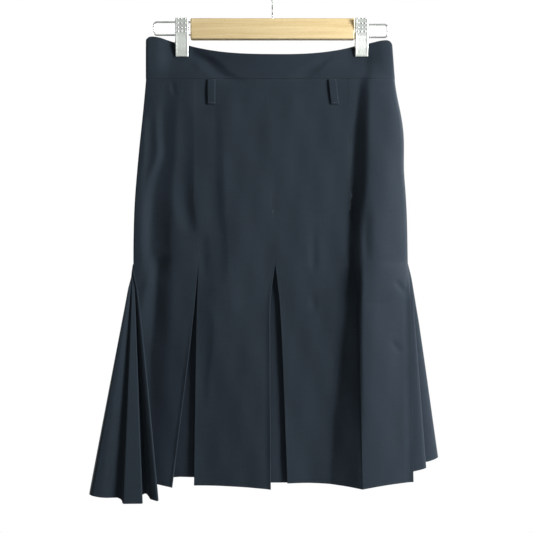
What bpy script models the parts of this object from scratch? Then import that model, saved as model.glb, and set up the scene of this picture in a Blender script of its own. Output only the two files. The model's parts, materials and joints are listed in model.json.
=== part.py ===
"""Pleated midi skirt hung by two clips from a wooden hanger.

Eight gores meet at seams that open at knee level, where a godet is let into each: the front, back and
princess godets fold inwards behind their gores, and the side godets stand out in soft folds. A shaped
band closes the waist. The origin is the inside top of the hanger's hook, +Z is up and -Y is the front.
Lengths in the tables are millimetres; the meshes are made in metres.
"""

import math
from collections import namedtuple

import bmesh
import bpy
import numpy as np
from mathutils import Matrix

MM = 0.001

# Cloth
CLOTH = 1.2  # wall of the gores, godets and belt loops
BAND_CLOTH = 2.0  # wall of the interfaced waistband
SEAM_GAP = 0.3  # space left between two pieces at a seam
LAYER_GAP = 0.3  # space left between two layers that lie on each other

# Depths below the hook at which the seams are drawn
SEAM, HIP, RELEASE, KICK, HEM = 178.0, 384.0, 444.0, 512.0, 762.0
LEVELS = (SEAM, HIP, RELEASE, KICK, HEM)

# Levels at which a wall has a row of points
UPPER_ROWS = (SEAM, 196.0, 222.0, 258.0, 300.0, 342.0, HIP, 416.0)
PLEAT_ROWS = (RELEASE, 450.0, 474.0, KICK, 570.0, 635.0, 700.0, HEM)

# Places of the gores' edges across the body at the five levels, their distance from the hanger's plane,
# negative to the front, and the depth at which the hem cuts them
Edge = namedtuple("Edge", "x y hem")
EDGES = {
    # name                 x at seam, hip, release, kick, hem              y at the same levels            hem
    "side_left_front": Edge((-183.0, -200.5, -201.0, -198.0, -185.0), (0.0, -2.0, -3.0, -2.2, 4.0), 756.0),
    "princess_left_out": Edge((-111.4, -113.0, -106.5, -112.3, -142.5), (-8.0, -15.0, -17.0, -21.0, -27.0), 764.0),
    "princess_left_in": Edge((-111.4, -113.0, -106.5, -109.0, -113.0), (-8.0, -15.0, -17.0, -20.0, -22.0), 762.0),
    "centre_front_left": Edge((-5.6, 0.3, 3.2, -4.6, -3.5), (-9.0, -17.0, -19.0, -22.0, -31.0), 766.0),
    "centre_front_right": Edge((-5.6, 0.3, 3.2, 11.1, 21.4), (-9.0, -17.0, -19.0, -20.0, -27.0), 758.5),
    "princess_right_in": Edge((107.5, 113.4, 116.5, 120.0, 125.3), (-8.0, -14.0, -18.0, -24.0, -30.0), 763.5),
    "princess_right_out": Edge((107.5, 113.4, 116.5, 122.0, 127.8), (-8.0, -14.0, -18.0, -24.0, -30.0), 763.5),
    "side_right_front": Edge((176.4, 194.0, 195.0, 198.0, 200.7), (0.0, -2.0, -3.0, -1.2, 8.0), 756.5),
    "side_right_back": Edge((176.4, 194.0, 195.0, 198.0, 196.0), (0.0, -2.0, -3.0, 3.0, 38.0), 758.0),
    "back_right_out": Edge((108.0, 113.0, 111.0, 116.0, 136.0), (8.0, 14.0, 17.0, 25.0, 46.0), 760.0),
    "back_right_in": Edge((108.0, 113.0, 111.0, 111.5, 114.0), (8.0, 14.0, 17.0, 25.0, 42.0), 759.0),
    "centre_back_right": Edge((0.8, 0.0, 0.0, 5.5, 12.0), (9.0, 15.0, 18.0, 25.0, 44.0), 759.0),
    "centre_back_left": Edge((-0.8, 0.0, 0.0, -5.5, -12.0), (9.0, 15.0, 18.0, 25.0, 44.0), 759.0),
    "back_left_in": Edge((-111.0, -114.0, -108.0, -109.0, -112.0), (8.0, 14.0, 17.0, 25.0, 42.0), 760.0),
    "back_left_out": Edge((-111.0, -114.0, -108.0, -113.5, -136.0), (8.0, 14.0, 17.0, 25.0, 46.0), 762.0),
    "side_left_back": Edge((-183.0, -200.5, -201.0, -198.0, -194.0), (0.0, -2.0, -3.0, 3.0, 38.0), 766.0),
}

# Gores in their order round the body, each from one edge to the next, and how far its hem rises between them
Gore = namedtuple("Gore", "start end face rise")
FRONT, BACK = -1.0, 1.0
GORES = {
    "front_side_left": Gore("side_left_front", "princess_left_out", FRONT, 0.0),
    "front_centre_left": Gore("princess_left_in", "centre_front_left", FRONT, 1.5),
    "front_centre_right": Gore("centre_front_right", "princess_right_in", FRONT, 2.5),
    "front_side_right": Gore("princess_right_out", "side_right_front", FRONT, 1.5),
    "back_side_right": Gore("side_right_back", "back_right_out", BACK, 0.0),
    "back_centre_right": Gore("back_right_in", "centre_back_right", BACK, 2.0),
    "back_centre_left": Gore("centre_back_left", "back_left_in", BACK, 2.0),
    "back_side_left": Gore("back_left_out", "side_left_back", BACK, 0.0),
}
CENTRE_COLUMNS = (0.0, 0.09, 0.2, 0.32, 0.44, 0.56, 0.68, 0.8, 0.91, 1.0)
SIDE_COLUMNS = (0.0, 0.05, 0.1, 0.16, 0.25, 0.36, 0.48, 0.6, 0.73, 0.86, 1.0)
SIDE_TURN = 30.0  # pull of the cloth round the side above the release
SIDE_OPENING = 12.0  # how far each side edge parts from the side seam towards the hem
SIDE_FADE = 0.18  # share of a side gore beside its side seam where soft folds die out
HIP_SWELL, SWELL_DEPTH, SWELL_REACH = 5.0, 250.0, 72.0  # of the right side seam's curve over the hip

# Soft folds: each runs from one depth and place to another, is as wide as its two flanks, and lifts the
# cloth off the body by its two heights (a trough is negative)
Fold = namedtuple("Fold", "face top bottom x_top x_bottom left right lift_top lift_bottom")
FOLDS = (
    # face  top    bottom x_top  x_bottom left  right lift_top lift_bottom
    Fold(FRONT, 186.0, 500.0, 137.0, 128.0, 22.0, 46.0, 8.0, 8.0),  # ridge over the right princess seam
    Fold(FRONT, 200.0, 560.0, 112.0, 100.0, 26.0, 16.0, -3.0, -6.0),  # hollow beside that ridge
    Fold(FRONT, 470.0, 800.0, 98.0, 76.0, 66.0, 50.0, -5.0, -25.0),  # hollow of the right centre gore
    Fold(FRONT, 540.0, 800.0, 172.0, 172.0, 40.0, 28.0, -3.0, -9.0),  # hollow of the right side gore
    Fold(FRONT, 180.0, 640.0, -143.0, -170.0, 13.0, 17.0, -5.0, -4.0),  # long trough of the left side gore
    Fold(FRONT, 210.0, 390.0, -116.0, -112.0, 9.0, 10.0, -2.0, -2.5),  # trough along the left princess seam
    Fold(FRONT, 215.0, 430.0, -77.0, -68.0, 11.0, 13.0, -2.0, -2.5),  # trough of the left centre gore
    Fold(BACK, 186.0, 430.0, 138.0, 150.0, 15.0, 16.0, -4.0, -3.0),
    Fold(BACK, 190.0, 620.0, -140.0, -160.0, 14.0, 17.0, -4.0, -4.0),
    Fold(BACK, 470.0, 800.0, 62.0, 62.0, 48.0, 46.0, -4.0, -12.0),
    Fold(BACK, 470.0, 800.0, -60.0, -62.0, 46.0, 48.0, -4.0, -12.0),
)

FOLD_ONSET, FOLD_CLOSE = 0.22, 0.3  # shares of a fold's length over which it comes in and dies out

# Godets that fold inwards: the two gores they join, how wide their returns are at the top and hem, how far
# the underlay lies behind the returns at the hem, and the depth at which the hem cuts the underlay
Godet = namedtuple("Godet", "before after return_top return_hem set_back hem")
GODETS = {
    "godet_front_left": Godet("front_side_left", "front_centre_left", 5.0, 24.0, 8.0, 754.0),
    "godet_front_centre": Godet("front_centre_left", "front_centre_right", 5.0, 30.0, 10.0, 762.0),
    "godet_front_right": Godet("front_centre_right", "front_side_right", 5.0, 26.0, 8.0, 758.0),
    "godet_back_right": Godet("back_side_right", "back_centre_right", 5.0, 26.0, 8.0, 756.0),
    "godet_back_centre": Godet("back_centre_right", "back_centre_left", 5.0, 30.0, 8.0, 755.0),
    "godet_back_left": Godet("back_centre_left", "back_side_left", 5.0, 26.0, 8.0, 757.0),
}
RETURN_START, RETURN_EASE = 0.5, 2.6  # stand-off of a return from its gore: at its start, and added at the hem
TURN_RADIUS = 1.3  # of the folds between a return and the underlay
TURN_STEPS = 3

# Side godets: the edges they join, the place of their outline at the hem, how far their front edge is tucked
# behind the gore, and their folds in order from the front gore's edge to the back gore's, at the hem. A fold
# lags behind a straight line from the release where its power is over 1.
SideGodet = namedtuple("SideGodet", "front_edge back_edge outline tuck folds")
SideFold = namedtuple("SideFold", "x y hem power")
SIDE_GODETS = {
    "godet_side_left": SideGodet(
        "side_left_front",
        "side_left_back",
        -262.0,
        -0.6,
        (
            SideFold(-191.0, -11.0, 765.0, 1.0),
            SideFold(-186.0, -21.0, 768.0, 1.2),
            SideFold(-163.5, -43.0, 775.0, 1.35),
            SideFold(-161.5, -47.5, 777.0, 1.35),
            SideFold(-165.5, -49.0, 777.0, 1.35),
            SideFold(-182.5, -36.0, 770.0, 1.2),
            SideFold(-188.0, -42.0, 773.0, 1.1),
            SideFold(-194.0, -63.0, 780.0, 1.0),
            SideFold(-200.0, -66.5, 781.0, 1.0),
            SideFold(-207.0, -63.0, 780.0, 1.0),
            SideFold(-211.5, -38.0, 774.0, 1.0),
            SideFold(-220.0, -33.0, 773.0, 1.0),
            SideFold(-238.0, -32.0, 775.0, 1.0),
            SideFold(-256.0, -14.0, 770.0, 0.95),
            SideFold(-262.0, 8.0, 769.0, 0.95),
            SideFold(-256.0, 30.0, 768.0, 0.95),
            SideFold(-240.0, 44.0, 767.0, 1.0),
            SideFold(-226.0, 40.0, 766.0, 1.0),
            SideFold(-214.0, 54.0, 766.0, 1.0),
            SideFold(-203.0, 58.0, 766.0, 1.0),
        ),
    ),
    "godet_side_right": SideGodet(
        "side_right_front",
        "side_right_back",
        249.0,
        1.8,
        (
            SideFold(196.0, 6.5, 757.0, 1.0),
            SideFold(190.0, 10.0, 756.0, 1.0),
            SideFold(187.0, 14.0, 755.0, 1.0),
            SideFold(191.0, 17.5, 753.0, 1.0),
            SideFold(207.0, 20.0, 750.0, 1.0),
            SideFold(223.0, 25.5, 747.0, 1.0),
            SideFold(226.5, 29.5, 746.0, 1.0),
            SideFold(222.0, 32.0, 745.0, 1.0),
            SideFold(211.0, 32.0, 744.0, 1.0),
            SideFold(207.0, 36.0, 743.0, 1.0),
            SideFold(212.0, 40.0, 742.0, 1.0),
            SideFold(232.0, 47.0, 740.0, 1.0),
            SideFold(245.5, 56.0, 737.0, 1.0),
            SideFold(249.0, 62.0, 736.0, 1.0),
            SideFold(243.5, 66.0, 738.0, 1.0),
            SideFold(232.0, 64.0, 742.0, 1.0),
            SideFold(220.0, 57.0, 747.0, 1.0),
            SideFold(208.0, 62.0, 752.0, 1.0),
            SideFold(200.0, 56.0, 755.0, 1.0),
        ),
    ),
}
CORNER_GAP = 1.1  # taken off each side edge, which turns a corner at its seam
FOLD_START, FOLD_SPAN = 0.05, 0.3  # share of the godet's length over which its folds come in
SIDE_ROUNDING = 1.5  # how far a side godet stands out where it starts

# Waistband and the clips that pinch it
CLIP_X = (-131.7, 128.2)
CLIP_TOP = (125.5, 127.5)  # depth of the waist edge under each clip
SIDE_TOP = (117.5, 121.8)  # depth of the waist edge at each side
WAIST_SAG = {FRONT: 16.5, BACK: 19.0}  # of the waist edge between the clips
PINCH = 1.25  # half the distance between the two layers' middles in a clip
PINCH_HALF = 16.0  # half the width over which a clip holds them flat
PINCH_END = 147.0
MOUTH = 8.0  # how far the front and back stand off halfway between the clips
SIDE_BULGE = 4.0
CORNER = 8.0
SIDE_OUTLINE = (EDGES["side_left_front"].x[0], EDGES["side_right_front"].x[0])
TOP_SHRINK = (0.0, 4.0)  # how much narrower the waist edge is than the band's seam, left and right
BAND_ROWS = (0.0, 0.46, 0.72, 1.0)  # shares of the way from the waist edge to the band's seam
BAND_TRIM = 0.2
BANDS = {
    "waistband_front": ("front_side_left", "front_centre_left", "front_centre_right", "front_side_right"),
    "waistband_back_right": ("back_side_right", "back_centre_right"),
    "waistband_back_left": ("back_centre_left", "back_side_left"),
}

# Belt loops: where each hangs on the band's seam, how far its lower end leans, and its face
Loop = namedtuple("Loop", "gore x lean")
LOOPS = {
    "belt_loop_front_left": Loop("front_centre_left", -88.8, 0.0),
    "belt_loop_front_right": Loop("front_centre_right", 85.4, 4.0),
    "belt_loop_back_right": Loop("back_centre_right", 86.0, 0.0),
    "belt_loop_back_left": Loop("back_centre_left", -86.0, 0.0),
}
LOOP_WIDTH, LOOP_LENGTH, LOOP_GAP = 11.5, 36.0, 0.4
LOOP_TOP = 1.0  # below the band's seam
LOOP_STEPS = ((0.0, 0.0), (0.1, 1.2), (0.24, 2.7), (0.5, 3.3), (0.76, 2.9), (0.9, 1.4), (1.0, 0.0))

# Concealed zip of the centre back: its tape behind the two halves, and its slider and pull outside them
ZIP_ROWS = (147.0, 162.0, SEAM - 1.0, SEAM + 6.0, 222.0, 258.0, 300.0, 340.0)
TAPE, TAPE_COLUMNS = 1.0, (12.0, 4.0, -4.0, -12.0)
SLIDER_TOP, SLIDER_END, SLIDER_PLATE, SLIDER_HALF = 150.0, 157.0, 1.0, 2.4
NECK_HALF, NECK_TOP, NECK_END = 0.5, 151.0, 155.0
PIN_DEPTH = 152.0
PIN, EYE, RING = 0.7, 1.0, 1.7  # radii
EAR, EAR_OVER, RING_HALF = 0.9, 0.4, 1.2  # width of an ear, its cover over the pin, half the ring's width
PULL_LENGTH, PULL_HALF, PULL_THICK, PULL_SHOULDER = 15.0, 2.3, 1.2, 3.0
ROUND_STEPS = 12

# Hanger
BAR_ENDS, BAR_DEPTHS, BAR_THICK = (-119.1, 118.2), (89.9, 120.3), 14.0
BAR_BEVEL = 2.0
HOOK_WIRE, HOOK_INSIDE = 1.6, 19.0  # radii of the wire and of the bend that goes over a rail
HOOK_LEAVES, HOOK_TIP = math.radians(215.0), math.radians(-25.0)
SHANK_TOP, SHANK_BORE, NECK_PULL = 74.0, 12.0, 1.1
HOOK_STEPS, WIRE_STEPS = 22, 4
WIRE, WIRE_BEND, WIRE_BORE = 1.25, 5.0, 14.0
BORE_CLEARANCE = 0.3
CUT = 5.0  # how far a drill stands out of the face it enters
# End of each wire loop and the depths of its two legs
WIRE_LOOPS = {"wire_loop_left": (-172.5, (94.5, 113.2)), "wire_loop_right": (166.5, (98.0, 116.4))}
CLIP_HALF, CLIP_SHEET = 8.6, 1.0
CLIP_LIP, LIP_FLARE = 1.4, 0.5
CHEEK_HALF, CHEEK_EDGE, CHEEK_CLEAR = 4.5, 1.0, 3.0
# A jaw's middle from its finger end to its nip: depth, and stand-off from the hanger's plane
JAW = (
    (89.5, 12.5),
    (96.0, 10.8),
    (104.0, 8.6),
    (110.0, 7.3),
    (122.0, 6.3),
    (132.0, 5.6),
    (140.0, 4.2),
    (145.0, 3.15),
)
JAW_COLUMNS = (-1.0, -0.33, 0.33, 1.0)


def smooth(share):
    """A share from 0 to 1 that starts and ends gently."""
    share = np.clip(share, 0.0, 1.0)
    return share * share * (3.0 - 2.0 * share)


def bell(across):
    """1 in the middle of a fold and 0 at its edges, where across is -1 and 1."""
    return 0.5 * (1.0 + math.cos(math.pi * across)) if abs(across) < 1.0 else 0.0


def through(places, values, place):
    """Smooth curve through the values at the places, with no overshoot."""
    places, values = np.asarray(places, float), np.asarray(values, float)
    steps = np.diff(places)
    slopes = np.diff(values) / steps
    before, after = slopes[:-1], slopes[1:]
    turn = before * after > 0
    inner = np.where(turn, 2.0 * before * after / np.where(turn, before + after, 1.0), 0.0)
    tangents = np.concatenate([slopes[:1], inner, slopes[-1:]])
    place = min(max(place, places[0]), places[-1])
    i = min(int(np.searchsorted(places, place, side="right")) - 1, len(steps) - 1)
    t = (place - places[i]) / steps[i]
    return (
        (1 + 2 * t) * (1 - t) ** 2 * values[i]
        + t * (1 - t) ** 2 * steps[i] * tangents[i]
        + t * t * (3 - 2 * t) * values[i + 1]
        + t * t * (t - 1) * steps[i] * tangents[i + 1]
    )


def pleat_share(level):
    """0 at the release, 1 at the hem."""
    return max(0.0, (level - RELEASE) / (HEM - RELEASE))


def edge_point(name, level):
    """(x, y) of a gore's edge at a level."""
    edge = EDGES[name]
    part = slice(0, 3) if level <= RELEASE else slice(2, 5)
    x, y = (through(LEVELS[part], values[part], level) for values in (edge.x, edge.y))
    if name.startswith("side"):
        y += (BACK if name.endswith("back") else FRONT) * SIDE_OPENING * math.sqrt(pleat_share(level))
    if name.startswith("side_right"):
        x += HIP_SWELL * bell((level - SWELL_DEPTH) / SWELL_REACH)
    return np.array([x, y])


def lowered(level, hem):
    """Depth of a level on a line that the hem cuts at its own depth."""
    return level + (hem - HEM) * pleat_share(level)


def fold_lift(face, x, depth):
    """How far the soft folds lift the cloth at a place."""
    lift = 0.0
    for fold in FOLDS:
        if fold.face != face or not fold.top < depth < fold.bottom:
            continue
        share = (depth - fold.top) / (fold.bottom - fold.top)
        across = x - (fold.x_top + (fold.x_bottom - fold.x_top) * share)
        height = fold.lift_top + (fold.lift_bottom - fold.lift_top) * share
        ends = smooth(share / FOLD_ONSET) * (1.0 if fold.bottom > HEM else smooth((1.0 - share) / FOLD_CLOSE))
        lift += height * ends * bell(across / (fold.left if across < 0 else fold.right))
    return lift


def gore_point(name, share, level):
    """Point of a gore's middle surface: share runs from its first edge to its second."""
    gore = GORES[name]
    start, end = edge_point(gore.start, level), edge_point(gore.end, level)
    chord = end - start
    turning = SIDE_TURN * (1.0 - smooth((level - RELEASE) / (KICK - RELEASE)))
    flat = np.array([chord[0], 0.0])
    pulls = []
    for edge, way in ((gore.start, 1.0), (gore.end, -1.0)):
        side_pull = np.array([0.0, way * gore.face * turning])
        straight = 1.0 - turning / SIDE_TURN
        pulls.append(side_pull + flat * straight if edge.startswith("side") else flat)
    t = share
    point = (
        (1 + 2 * t) * (1 - t) ** 2 * start
        + t * (1 - t) ** 2 * pulls[0]
        + t * t * (3 - 2 * t) * end
        + t * t * (t - 1) * pulls[1]
    )
    hem = EDGES[gore.start].hem + (EDGES[gore.end].hem - EDGES[gore.start].hem) * share
    depth = lowered(level, hem - gore.rise * 4.0 * share * (1.0 - share))
    edge_fade = 1.0
    if gore.start.startswith("side"):
        edge_fade = smooth(share / SIDE_FADE)
    elif gore.end.startswith("side"):
        edge_fade = smooth((1.0 - share) / SIDE_FADE)
    point[1] += gore.face * edge_fade * fold_lift(gore.face, point[0], depth)
    return np.array([point[0], point[1], -depth])


def wall(name, middle, thickness, material, end_runs=None):
    """Closed wall of one thickness about a grid of points, rows downwards and columns round the body.

    The end runs are the directions in which the cloth crosses its first and last columns, where its
    neighbour carries on the curve.
    """
    middle = np.asarray(middle, float)
    across, down = np.gradient(middle, axis=1), np.gradient(middle, axis=0)
    if end_runs is not None:
        across[:, 0], across[:, -1] = end_runs
    outward = np.cross(down, across)
    outward /= np.linalg.norm(outward, axis=2, keepdims=True)
    rows, columns = middle.shape[:2]
    mesh = bmesh.new()
    sides = []
    for offset in (thickness / 2, -thickness / 2):
        points = (middle + outward * offset) * MM
        sides.append([[mesh.verts.new(p) for p in row] for row in points])
    outer, inner = sides
    for i in range(rows - 1):
        for j in range(columns - 1):
            mesh.faces.new((outer[i][j], outer[i + 1][j], outer[i + 1][j + 1], outer[i][j + 1]))
            mesh.faces.new((inner[i][j], inner[i][j + 1], inner[i + 1][j + 1], inner[i + 1][j]))
    rim = [(0, j) for j in range(columns)] + [(i, columns - 1) for i in range(1, rows)]
    rim += [(rows - 1, j) for j in range(columns - 2, -1, -1)] + [(i, 0) for i in range(rows - 2, 0, -1)]
    for (i, j), (k, m) in zip(rim, rim[1:] + rim[:1]):
        mesh.faces.new((outer[i][j], outer[k][m], inner[k][m], inner[i][j]))
    return finish(name, mesh, material)


def finish(name, mesh, material):
    """Object of a finished bmesh, with its faces turned outwards."""
    bmesh.ops.recalc_face_normals(mesh, faces=mesh.faces)
    data = bpy.data.meshes.new(name)
    mesh.to_mesh(data)
    mesh.free()
    data.materials.append(material)
    obj = bpy.data.objects.new(name, data)
    bpy.context.scene.collection.objects.link(obj)
    return obj


def make_material(name, colour, roughness, metallic=0.0):
    material = bpy.data.materials.new(name)
    material.use_nodes = True
    shader = material.node_tree.nodes["Principled BSDF"]
    shader.inputs["Base Color"].default_value = (*colour, 1.0)
    shader.inputs["Roughness"].default_value = roughness
    shader.inputs["Metallic"].default_value = metallic
    return material


def trimmed(row, by=SEAM_GAP / 2):
    """The same row of points with its two ends drawn in along the cloth."""
    row = np.array(row, float)
    steps = np.linalg.norm(np.diff(row, axis=0), axis=1)
    along = np.concatenate([[0.0], np.cumsum(steps)])
    places = by + along * (1.0 - 2.0 * by / along[-1])
    return np.array([np.interp(places, along, axis) for axis in row.T]).T


def gore_columns(name):
    """Shares across a gore at which its walls have a column, closer together where it turns the side."""
    gore = GORES[name]
    if gore.start.startswith("side"):
        return SIDE_COLUMNS
    if gore.end.startswith("side"):
        return tuple(1.0 - share for share in reversed(SIDE_COLUMNS))
    return CENTRE_COLUMNS


def end_runs(first, last, point_at, rows):
    """Directions across the first and last columns of a piece, for wall()."""
    step = 0.01
    starts = [point_at(first, step, row) - point_at(first, 0.0, row) for row in rows]
    ends = [point_at(last, 1.0, row) - point_at(last, 1.0 - step, row) for row in rows]
    return np.array(starts), np.array(ends)


def build_gores(material):
    levels = UPPER_ROWS + PLEAT_ROWS
    for name in GORES:
        rows = [trimmed([gore_point(name, share, level) for share in gore_columns(name)]) for level in levels]
        rows[0][:, 2] -= SEAM_GAP / 2
        wall(name, rows, CLOTH, material, end_runs(name, name, gore_point, levels))


def return_points(name, from_end, width, level, inward):
    """Points behind a gore's wall from its edge to the end of a godet's return."""
    columns = gore_columns(name)
    walls = np.array([gore_point(name, share, level) for share in columns])
    span = np.linalg.norm(walls[-1] - walls[0])
    points = []
    for share in (0.0, 0.33, 0.67, 1.0):
        along = share * width / span
        place = 1.0 - along if from_end else along
        places = np.clip((place, place - 0.04, place + 0.04), 0.0, 1.0)
        point, before, after = (np.array([np.interp(p, columns, axis) for axis in walls.T]) for p in places)
        run = (after - before)[:2]
        across = np.array([-run[1], run[0]]) / np.linalg.norm(run)
        across *= inward * np.sign(across[1])
        ease = RETURN_START + RETURN_EASE * pleat_share(level)
        point[:2] += across * (CLOTH + LAYER_GAP + share * ease)
        points.append(point)
    return points


def build_godets(material):
    for name, godet in GODETS.items():
        inward = -GORES[godet.before].face
        rows = []
        for level in PLEAT_ROWS:
            share = pleat_share(level)
            width = godet.return_top + (godet.return_hem - godet.return_top) * share
            first = return_points(godet.before, True, width, level, inward)
            last = return_points(godet.after, False, width, level, inward)[::-1]
            under = -lowered(level, godet.hem)
            way = np.sign(first[0][0] - first[-1][0])
            turns = []
            for end, side in ((first[-1], -way), (last[0], way)):
                centre = end + np.array([0.0, inward * TURN_RADIUS, 0.0])
                turn = []
                for step in range(1, TURN_STEPS + 1):
                    angle = math.pi * step / TURN_STEPS
                    out = np.array([side * math.sin(angle), -inward * math.cos(angle), 0.0]) * TURN_RADIUS
                    point = centre + out
                    point[2] = end[2] + (under - end[2]) * step / TURN_STEPS
                    turn.append(point)
                turns.append(turn)
            before, after = turns[0], turns[1][::-1]
            underlay = []
            for place in (0.25, 0.5, 0.75):
                point = before[-1] + (after[0] - before[-1]) * place
                point[1] += inward * godet.set_back * share * math.sin(math.pi * place)
                underlay.append(point)
            rows.append(first + before + underlay + after + last)
        wall(name, rows, CLOTH, material)


def build_side_godets(material):
    for name, (front_edge, back_edge, outline, tuck, folds) in SIDE_GODETS.items():
        names = (front_edge, back_edge)
        count = len(folds) + 2
        front_hem, back_hem = edge_point(front_edge, HEM), edge_point(back_edge, HEM)
        rows = []
        for level in PLEAT_ROWS[1:]:
            share = pleat_share(level)
            front, back = edge_point(front_edge, level), edge_point(back_edge, level)
            front[1] += tuck * smooth((share - FOLD_START) / FOLD_SPAN)
            middle_hem = (front_hem[0] + back_hem[0]) / 2
            bulge = math.copysign(SIDE_ROUNDING, outline) + (outline - middle_hem) * share
            folded = smooth((share - FOLD_START) / FOLD_SPAN)
            row = []
            for i in range(count):
                place = i / (count - 1)
                base = front + (back - front) * place
                arc = base + np.array([bulge * math.sin(math.pi * place) ** 2, 0.0])
                if i in (0, count - 1):
                    point, hem = (front, back)[i > 0], EDGES[names[i > 0]].hem
                else:
                    fold = folds[i - 1]
                    offset = np.array([fold.x, fold.y]) - (front_hem + (back_hem - front_hem) * place)
                    shape = base + offset * share**fold.power
                    point = arc + (shape - arc) * folded
                    hem = fold.hem
                row.append([point[0], point[1], -lowered(level, hem)])
            if outline < 0:
                row.reverse()
            rows.append(trimmed(row, CORNER_GAP))
        wall(name, rows, CLOTH, material)


def waist_edge(face, x):
    """(stand-off, depth) of the waist edge's middle at a place across the body."""
    left, right = CLIP_X
    if left <= x <= right:
        share = (x - left) / (right - left)
        sag = WAIST_SAG[face] * 4.0 * share * (1.0 - share)
        depth = CLIP_TOP[0] + (CLIP_TOP[1] - CLIP_TOP[0]) * share + sag
        loose = min(max((x - left - PINCH_HALF) / (right - left - 2.0 * PINCH_HALF), 0.0), 1.0)
        return PINCH + MOUTH * 4.0 * loose * (1.0 - loose), depth
    side = 0 if x < 0 else 1
    outer = abs(SIDE_OUTLINE[side])
    from_clip, span = abs(x) - abs(CLIP_X[side]), outer - abs(CLIP_X[side])
    from_corner = outer - abs(x)
    depth = CLIP_TOP[side] + (SIDE_TOP[side] - CLIP_TOP[side]) * smooth(from_clip / span / 0.6)
    stand = PINCH + (SIDE_BULGE - PINCH) * smooth((from_clip - PINCH_HALF) / (span - PINCH_HALF) / 0.6)
    if from_corner < CORNER:
        rounding = math.sqrt(max(0.0, 1.0 - (1.0 - from_corner / CORNER) ** 2))
        stand *= rounding
        depth += CORNER * (1.0 - rounding)
    return stand, depth


def band_point(gore_name, share, down):
    """Point of the waistband above a gore: down runs from the waist edge, 0, to the seam, 1."""
    face = GORES[gore_name].face
    seam = gore_point(gore_name, share, SEAM)
    side = 0 if seam[0] < 0 else 1
    stand, top = waist_edge(face, seam[0])
    shrink = -TOP_SHRINK[side] * seam[0] / SIDE_OUTLINE[1]
    depth = top + (SEAM - top) * down
    opened = smooth((depth - PINCH_END) / (SEAM - PINCH_END))
    top_y = face * stand
    return np.array([seam[0] + shrink * (1.0 - down), top_y + (seam[1] - top_y) * opened, -depth])


def band_columns(gore_names):
    """Gores and shares at which a band has its columns, one for each seam that it crosses."""
    places = []
    for name in gore_names:
        places += [(name, share) for share in gore_columns(name)[(1 if places else 0) :]]
    return places


def build_bands(material):
    for name, gore_names in BANDS.items():
        places = band_columns(gore_names)
        rows = []
        for down in BAND_ROWS:
            rows.append(trimmed([band_point(gore, share, down) for gore, share in places], BAND_TRIM))
        rows[-1][:, 2] += SEAM_GAP / 2
        runs = end_runs(gore_names[0], gore_names[-1], band_point, BAND_ROWS)
        wall(name, rows, BAND_CLOTH, material, runs)


def gore_at(name, x, level):
    """Point of a gore's middle surface at a place across the body."""
    low, high = 0.0, 1.0
    rising = gore_point(name, 1.0, level)[0] > gore_point(name, 0.0, level)[0]
    for _ in range(30):
        middle = (low + high) / 2
        if (gore_point(name, middle, level)[0] < x) == rising:
            low = middle
        else:
            high = middle
    return gore_point(name, low, level)


def build_loops(material):
    for name, loop in LOOPS.items():
        face = GORES[loop.gore].face
        edges = (-LOOP_WIDTH / 2, 0.0, LOOP_WIDTH / 2)
        rows = []
        for down, lift in LOOP_STEPS:
            level = SEAM + LOOP_TOP + down * LOOP_LENGTH
            middle = loop.x + loop.lean * down
            row = [gore_at(loop.gore, middle + across, level) for across in edges]
            for point in row:
                point[1] += face * (CLOTH + LOOP_GAP + lift)
            rows.append(row if face == FRONT else row[::-1])
        wall(name, rows, CLOTH, material)


def centre_back(depth):
    """(y of the cloth's middle, its half thickness) at the centre back."""
    if depth > SEAM:
        return gore_point("back_centre_right", 1.0, depth)[1], CLOTH / 2
    top = -band_point("back_centre_right", 1.0, 0.0)[2]
    return band_point("back_centre_right", 1.0, (depth - top) / (SEAM - top))[1], BAND_CLOTH / 2


def build_zip(tape_material, metal):
    rows = []
    for depth in ZIP_ROWS:
        y = centre_back(depth)[0] - BAND_CLOTH / 2 - LAYER_GAP - TAPE / 2
        rows.append([(x, y, -depth) for x in TAPE_COLUMNS])
    wall("zip_tape", rows, TAPE, tape_material)

    middle, half = centre_back(SLIDER_TOP)
    plate = middle + half + LAYER_GAP
    pin_y = plate + SLIDER_PLATE + LAYER_GAP + RING
    pin_z = -PIN_DEPTH
    slider = block("zip_slider", (-SLIDER_HALF, SLIDER_HALF), (plate, plate + SLIDER_PLATE),
                   (-SLIDER_END, -SLIDER_TOP), metal)
    neck_y = (middle - half, plate + SLIDER_PLATE / 2)
    join(slider, block("neck", (-NECK_HALF, NECK_HALF), neck_y, (-NECK_END, -NECK_TOP), metal))
    for side in (-1.0, 1.0):
        ear_x = sorted((side * SLIDER_HALF, side * (SLIDER_HALF - EAR)))
        ear_z = (pin_z - RING, pin_z + RING)
        join(slider, block("ear", ear_x, (plate + SLIDER_PLATE / 2, pin_y + PIN + EAR_OVER), ear_z, metal))
    reach = SLIDER_HALF - EAR / 2
    join(slider, rod("pin", [(-reach, PIN_DEPTH), (reach, PIN_DEPTH)], PIN, metal, pin_y))

    pull = rod("zip_pull", [(-RING_HALF, PIN_DEPTH), (RING_HALF, PIN_DEPTH)], RING, metal, pin_y)
    thick = (pin_y - PULL_THICK / 2, pin_y + PULL_THICK / 2)
    shank_z = (pin_z - PULL_SHOULDER - 1.0, pin_z)
    join(pull, block("shank", (-RING_HALF, RING_HALF), thick, shank_z, metal))
    tab_z = (pin_z - PULL_LENGTH, pin_z - PULL_SHOULDER)
    join(pull, block("tab", (-PULL_HALF, PULL_HALF), thick, tab_z, metal))
    join(pull, rod("eye", [(-CUT, PIN_DEPTH), (CUT, PIN_DEPTH)], EYE, metal, pin_y), "DIFFERENCE")
    pull.data.transform(Matrix.Translation((0.0, -pin_y * MM, PIN_DEPTH * MM)))
    pull.location = (0.0, pin_y * MM, -PIN_DEPTH * MM)


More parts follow.
